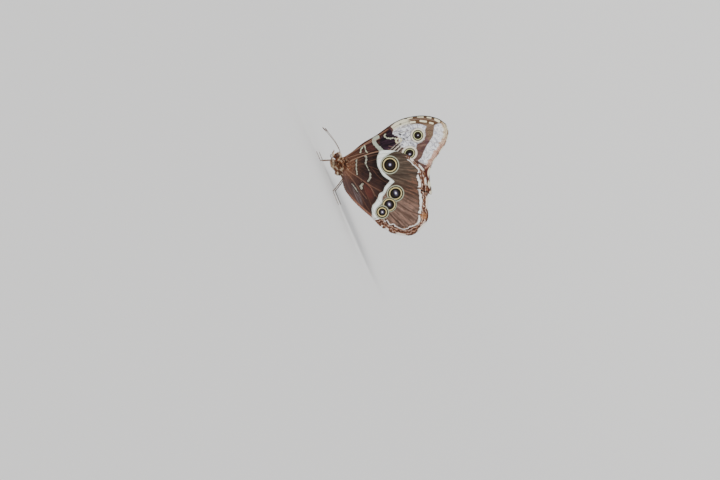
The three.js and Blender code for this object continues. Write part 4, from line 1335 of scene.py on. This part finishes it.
def bodyCoats(firstSeed=3):
    x, y, z = skinAt.T
    face, abdomen = regions["face"], regions["abdomen"]
    nearWing = 1 - smoothStep(np.hypot((x + 0.5) / 5, (z + 0.5) / 4.5), 0.6, 1.0)
    coats = {
        "headCoat": ("head", face, 0.75 + 0.55 * smoothStep(z, -2, 0.5)),
        "abdomenCoat": ("abdomen", abdomen, 0.75 + 0.2 * np.sin(x)),
    }
    onThorax = (1 - face) * (1 - abdomen)
    thoraxSizes = 1.35 + 0.9 * nearWing + 0.35 * smoothStep(-z, 3, 6)
    upper = z > thoraxPlan["centre"][2]
    for side, onSide in (("Left", y < 0), ("Right", y >= 0)):
        for place, onPlace in (("thorax", upper), ("chest", ~upper)):
            coats[place + "Coat" + side] = ("thorax", onThorax * onSide * onPlace, thoraxSizes)
    for seed, (name, (kind, where, sizes)) in enumerate(coats.items(), firstSeed):
        plan = coatPlans[kind]
        for key, values in (("coat", where), ("size", sizes)):
            skin.data.attributes[key].data.foreach_set("value", values.astype(np.float32))
        skin.data.update_tag()
        coatOf(name, skin, plan["tuft"], hairFinish, plan["density"], plan["ruffle"], seed)


bodyCoats()

# Hair at the roots of the wings and along the inner edge of the hindwings
rootHairPlan = {"density": {"forewing": 14, "hindwing": 12}, "full": 2.5, "gone": 6.5, "lift": 0.16,
                "ruffle": 0.14, "seed": 21}


def rootHair(side, sign):
    plan = rootHairPlan
    for kind, outAt in (("forewing", forewingOut), ("hindwing", hindwingOut)):
        found = wingFacts[kind]
        points = found["points"]
        reach = np.hypot(points[:, 0] - 0.5, points[:, 1] + 0.5)
        where = 1 - smoothStep(reach, plan["full"], plan["gone"])
        away = unit(points - np.array((-0.5, -1.5)))
        if kind == "hindwing":
            toInner = toLine(points, found["shape"]["lines"]["inner"])[0]
            strip = (1 - smoothStep(toInner, 0.3, 1.6)) * (1 - smoothStep(points[:, 0], 30, 38))
            where = np.maximum(where, 0.8 * strip)
        triangles = found["triangles"][(where > 0.01)[found["triangles"]].all(1)]
        y = sign * (outAt(points) + meshPlan["half"] - meshPlan["sag"] * 0.5)
        if sign > 0:
            triangles = triangles[:, ::-1]
        base = newObject(kind + "Root" + side, acrossPlan(points, y), triangles)
        count = len(points)
        lie = unit(np.column_stack([away[:, 0], np.full(count, sign * plan["lift"]), away[:, 1]]))
        setCoat(base.data, where, 0.8 + 0.7 * (1 - smoothStep(reach, 2, 6)), lie,
                np.tile([0.0, sign, 0.0], (count, 1)), *((points + (12, 20)) / 60).T)
        coatOf(kind + "RootHair" + side, base, "long", hairFinish, plan["density"][kind],
               plan["ruffle"], plan["seed"])
        bpy.data.objects.remove(base)


# Fringe of narrow scales along the outer margins, white in the bays and dark at the veins
fringePlan = {"step": 0.15, "length": 0.85, "inset": 0.15, "ruffle": 0.12, "seed": 31}


def fringeFinish(name, white, dark):
    f = Finish(name)
    lane, tip = f.attribute("lane"), f.attribute("tip")
    swing = f.maths("ABSOLUTE", f.maths("SINE", lane * math.pi))
    grain = f.noise(f.attribute("root", "Vector"), 900, 2)
    colour = f.blend(f.rise(swing + (grain - 0.5) * 0.5, 0.55, 0.75), dark, white)
    return f.done(f.blend((1 - f.rise(tip, 0, 0.3)) * 0.5, colour, dark), 0.7, Specular_IOR_Level=0.2)


def fringe(side, sign):
    plan = fringePlan
    foreTurn = farForewingTurn if sign > 0 else 0
    for kind, outAt, turn in (("forewing", forewingOut, foreTurn), ("hindwing", hindwingOut, 0)):
        shape = wingFacts[kind]["shape"]
        onMargin = shape["lanes"] >= 0
        line, lanes = shape["rim"][onMargin], shape["lanes"][onMargin]
        wanted = np.arange(0, runLengths(line)[-1], plan["step"])
        lanes = np.interp(wanted, runLengths(line), lanes)
        points = atLengths(line, wanted)
        ahead = unit(np.gradient(points, axis=0))
        outward = np.column_stack([-ahead[:, 1], ahead[:, 0]])
        base = points - outward * plan["inset"]
        at, way = turnedPlan(base, turn), turnedPlan(outward, turn)
        count = len(at)
        dots = newObject(kind + "Margin" + side, acrossPlan(at, sign * outAt(base)), [])
        setFloats(dots.data, "lane", lanes)
        sizes = plan["length"] * (0.75 + 0.35 * np.abs(np.sin(np.pi * lanes)))
        lie = np.column_stack([way[:, 0], np.zeros(count), way[:, 1]])
        setCoat(dots.data, np.ones(count), sizes, lie, np.tile([0.0, sign, 0.0], (count, 1)),
                0.05 + 0.9 * wanted / wanted[-1], 0.5)
        coatOf(kind + "Fringe" + side, dots, "fringe", fringeFinishes[kind], None,
               plan["ruffle"], plan["seed"])
        bpy.data.objects.remove(dots)


fringeFinishes = {
    "forewing": fringeFinish("forewingFringe", tone(240, 232, 204), tone(84, 58, 42)),
    "hindwing": fringeFinish("hindwingFringe", tone(246, 240, 230), tone(88, 56, 40)),
}
for side, sign in bothSides:
    rootHair(side, sign)
    fringe(side, sign)
print("coats and fringes made")


# Eyes, feelers, tongue and legs
def eyeFinish():
    f = Finish("eye")
    place = f.place()
    facets = f.cells(place, 9500)
    bands = f.noise(place, 900, 2, 0.5)
    colour = f.blend(f.rise(bands, 0.4, 0.62), tone(30, 15, 10), tone(78, 44, 26))
    return f.done(colour, 0.32, f.bump(facets, 0.3, 0.00002), Specular_IOR_Level=0.4, Coat_Weight=0.12)


def hornFinish(name, dark, light, scale):
    f = Finish(name)
    place = f.place()
    grain = f.noise(place, scale, 3, 0.6)
    colour = f.blend(f.rise(grain, 0.38, 0.62), dark, light)
    colour = f.blend(f.attribute("pale") * 0.8, colour, tone(206, 182, 150))
    return f.done(colour, 0.5, f.bump(grain, 0.4, 0.00006), Specular_IOR_Level=0.3)


eyePlan = {"centre": (-7.2, 1.45, -1.35), "radii": (1.3, 1.0, 1.45)}
eyeLook = eyeFinish()
hornLook = hornFinish("legHorn", tone(40, 24, 18), tone(96, 62, 42), 1500)
for side, sign in bothSides:
    vertices, faces = blobMesh(eyePlan["centre"], eyePlan["radii"])
    if sign < 0:
        vertices, faces = mirroredMesh((vertices, faces))
    eye = newObject("eye" + side, inWorld(vertices), faces, eyeLook)
    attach(eye, "root")
    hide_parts("eye_" + side.lower())

antennaPlan = {
    "path": [(-7.6, 0.8, 0.2), (-9.2, 1.6, 0.9), (-14.8, 5, 0.6), (-21, 9.2, -0.9), (-27.4, 13.4, -2.9)],
    "radius": 0.17, "club": 0.36, "rings": 38,
}
tonguePlan = {"root": (-7.2, 0, -3.0), "centre": (-8.6, -4.9), "outer": 1.55, "pitch": 0.78, "turns": 1.75,
              "radius": 0.22}
# Hip, knee, ankle and toe of each leg, where a height of nought stands for the floor
legJoints = {
    "mid": [(-1.2, 1.4, -4.6), (-5.2, 8.6, -4.2), (-8.2, 11.4, 0), (-14.6, 14.4, 0)],
    "hind": [(2.6, 1.4, -4.6), (8.2, 9.6, -3.6), (13.2, 11.8, 0), (23, 13.4, 0)],
}
legPlan = {
    "hip": (0.85, 0.75, 0.5),
    "thigh": (0.5, 0.62, 0.6, 0.45, 0.32),
    "shin": (0.33, 0.34, 0.32, 0.3, 0.28),
    "bow": (0, 0, 0.25),
    "foot": 0.2,
    "tarsals": (0.44, 0.18, 0.14, 0.12, 0.12),
    "clawLength": 0.8,
    "claw": (0.1, 0.08, 0.02),
    "pad": (0.12, 0.14, 0.06),
    "spineStep": 0.8,
    "spine": (0.06, 0.012),
    "hair": {"density": 16, "ruffle": 0.25, "seed": 41},
}


# A part of horn, drawn for the right side, with its pale bands
def hornPart(name, part, sign, nodes, pale):
    vertices, faces = mirroredMesh(part) if sign < 0 else part
    thing = newObject(name, inWorld(vertices), faces, hornLook)
    setFloats(thing.data, "pale", np.broadcast_to(pale, len(vertices)))
    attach(thing, "root")
    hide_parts(*nodes)
    return thing


def antennaMesh():
    plan = antennaPlan
    line = smoothLine(plan["path"], 24)
    share = np.linspace(0, 1, plan["rings"] * 5 + 1)
    line = atLengths(line, share * runLengths(line)[-1])
    club = smoothStep(share, 0.8, 0.93) - 0.7 * smoothStep(share, 0.95, 1)
    base = 0.14 * (1 - smoothStep(share, 0, 0.03))
    beads = 0.9 + 0.1 * np.abs(np.sin(np.pi * share * plan["rings"]))
    radius = (plan["radius"] + base + (plan["club"] - plan["radius"]) * club) * beads
    part = tubeMesh(line, radius, 10)
    band = np.abs(np.sin(np.pi * share * plan["rings"])) < 0.45
    pale = np.repeat(band * (1 - club), 10)
    return part, np.concatenate([[0], pale, [0]])


def tongueMesh():
    plan = tonguePlan
    share = np.linspace(0, 1, 150)
    angle = np.pi * 0.55 - share * plan["turns"] * 2 * np.pi
    reach = plan["outer"] - share * plan["turns"] * plan["pitch"]
    x, z = plan["centre"]
    coil = np.column_stack([x + reach * np.cos(angle), 0 * share, z + reach * np.sin(angle)])
    line = np.vstack([plan["root"], coil])
    taper = 1 - 0.45 * np.linspace(0, 1, len(line))
    ripple = 1 + 0.05 * np.sin(np.arange(len(line)) * 2.1)
    return tubeMesh(line, plan["radius"] * taper * ripple, 12, 1.15)


def legMesh(joints):
    plan = legPlan
    lowest = floorLevel + plan["foot"]
    hip, knee, ankle, toe = (np.array((x, y, z or lowest), float) for x, y, z in joints)
    parts, pales, ways, fluffs = [], [], [], []

    def limb(points, radii, pale, fluff=0.0):
        line = evenly(smoothLine(points, 16), 0.25)
        share = np.linspace(0, 1, len(line))
        radius = np.interp(share, np.linspace(0, 1, len(radii)), radii)
        part = tubeMesh(line, radius, 12)
        parts.append(part)
        pales.append(np.full(len(part[0]), pale))
        ways.append(np.tile(unit((line[-1] - line[0])[None]), (len(part[0]), 1)))
        fluffs.append(np.full(len(part[0]), fluff))

    limb([hip + (0, 0, 0.6), hip, hip + (knee - hip) * 0.12], plan["hip"], 0, 1)
    limb([hip, (hip + knee) / 2 + plan["bow"], knee], plan["thigh"], 0.1, 1)
    limb([knee - (knee - hip) * 0.02, (knee + ankle) / 2 + plan["bow"], ankle], plan["shin"], 0.15, 0.45)
    along = (toe - ankle) / np.linalg.norm(toe - ankle)
    length = np.linalg.norm(toe - ankle) - plan["clawLength"]
    footRadii = np.array([0.75, 1, 0.95, 1]) * plan["foot"]
    start = ankle
    for k, part in enumerate(plan["tarsals"]):
        end = start + along * length * part
        limb([start + along * 0.04, (start + end) / 2, end - along * 0.03], footRadii, 0.45 if k % 2 else 0.1)
        start = end
    across = np.cross(along, (0, 0, 1))
    for sign in (1, -1):
        middle = start + along * 0.4 + across * 0.16 * sign + (0, 0, 0.12)
        limb([start, middle, start + along * 0.75 + across * 0.22 * sign + (0, 0, -0.08)], plan["claw"], 0)
    limb([start, start + along * 0.3, start + along * 0.55], plan["pad"], 0.2)
    shin = knee - ankle
    aside = unit(np.cross(shin, (0, 0, 1))[None])[0]
    for k in range(int(np.linalg.norm(shin) / plan["spineStep"])):
        root = knee - shin * ((k + 0.8) * plan["spineStep"] / np.linalg.norm(shin))
        for sign in (1, -1):
            limb([root, root + aside * sign * 0.35 - unit(shin[None])[0] * 0.3], plan["spine"], 0)
    return joined(parts), np.concatenate(pales), np.vstack(ways), np.concatenate(fluffs)


# Short hair on the thigh and shin
def legCoat(leg, name, ways, fluffs, sign):
    plan = legPlan["hair"]
    normals = vertexRows(leg.data, "normal")
    x, y, _ = ((vertexRows(leg.data, "co") - wingRoot) / mm).T
    setCoat(leg.data, fluffs, 0.3 + 0.35 * fluffs, unit(ways * (1, sign, 1) + normals * 0.4), normals,
            0.05 + (x + 16) / 44, 0.05 + sign * y / 17)
    coatOf(name, leg, "short", hairFinish, plan["density"], plan["ruffle"], plan["seed"])


antenna, antennaPale = antennaMesh()
for side, sign in bothSides:
    hornPart("antenna" + side, antenna, sign, ["antenna_" + side.lower()], antennaPale)
    for place, joints in legJoints.items():
        leg, legPale, ways, fluffs = legMesh(joints)
        nodes = [f"leg_{place}_{part}_{side.lower()}" for part in ("femur", "tibia", "tarsus")]
        shown = hornPart(place + "Leg" + side, leg, sign, nodes, legPale)
        legCoat(shown, place + "LegHair" + side, ways, fluffs, sign)
hornPart("tongue", tongueMesh(), 1, ["proboscis"], 0)
for tuft in hairTufts.values():
    bpy.data.objects.remove(tuft)
print("legs and feelers made")


# Floor and light: a pale bowl, level under the animal and rising far away, with soft lamps.
# A lamp has the place it shines from, its width in degrees and its strength.
studioPlan = {
    "flat": 3.0, "reach": 10.0, "slope": 0.7, "steps": 24, "around": 96,
    "lamps": {
        "key": ((-0.35, -1.0, 0.8), 30, 2.6),
        "fill": ((0.9, -0.7, 0.4), 60, 0.7),
        "back": ((0.3, 1.0, 0.9), 50, 1.1),
    },
    "sky": (0.9, 0.93, 1, 1),
    "skyStrength": 0.6,
}


def studio():
    plan = studioPlan
    profile = [(0.0, 0.0), (plan["flat"], 0.0)]
    for i in range(1, plan["steps"] + 1):
        share = i / plan["steps"]
        profile.append((plan["flat"] + plan["reach"] * share, plan["reach"] * plan["slope"] * share**2 / 2))
    vertices = [(0, 0, 0)]
    for radius, height in profile[1:]:
        for k in range(plan["around"]):
            angle = 2 * math.pi * k / plan["around"]
            vertices.append((radius * math.cos(angle), radius * math.sin(angle), height))
    faces = [(0, 1 + k, 1 + (k + 1) % plan["around"]) for k in range(plan["around"])]
    for ring in range(len(profile) - 2):
        start = 1 + ring * plan["around"]
        above = start + plan["around"]
        for k in range(plan["around"]):
            beyond = (k + 1) % plan["around"]
            faces.append((start + k, above + k, above + beyond, start + beyond))
    floor = newObject("studioFloor", vertices, faces, Finish("studioFloor").done(tone(226, 224, 220), 0.9))
    for name, (place, angle, power) in plan["lamps"].items():
        data = bpy.data.lights.new(name, "SUN")
        data.angle, data.energy = math.radians(angle), power
        lamp = placeObject(name, data)
        lamp.location = place
        lamp.rotation_euler = (-Vector(place)).to_track_quat("-Z", "Y").to_euler()
    world = bpy.data.worlds.new("studio")
    world.use_nodes = True
    colour, strength = world.node_tree.nodes["Background"].inputs[:2]
    colour.default_value, strength.default_value = plan["sky"], plan["skyStrength"]
    bpy.context.scene.world = world


studio()
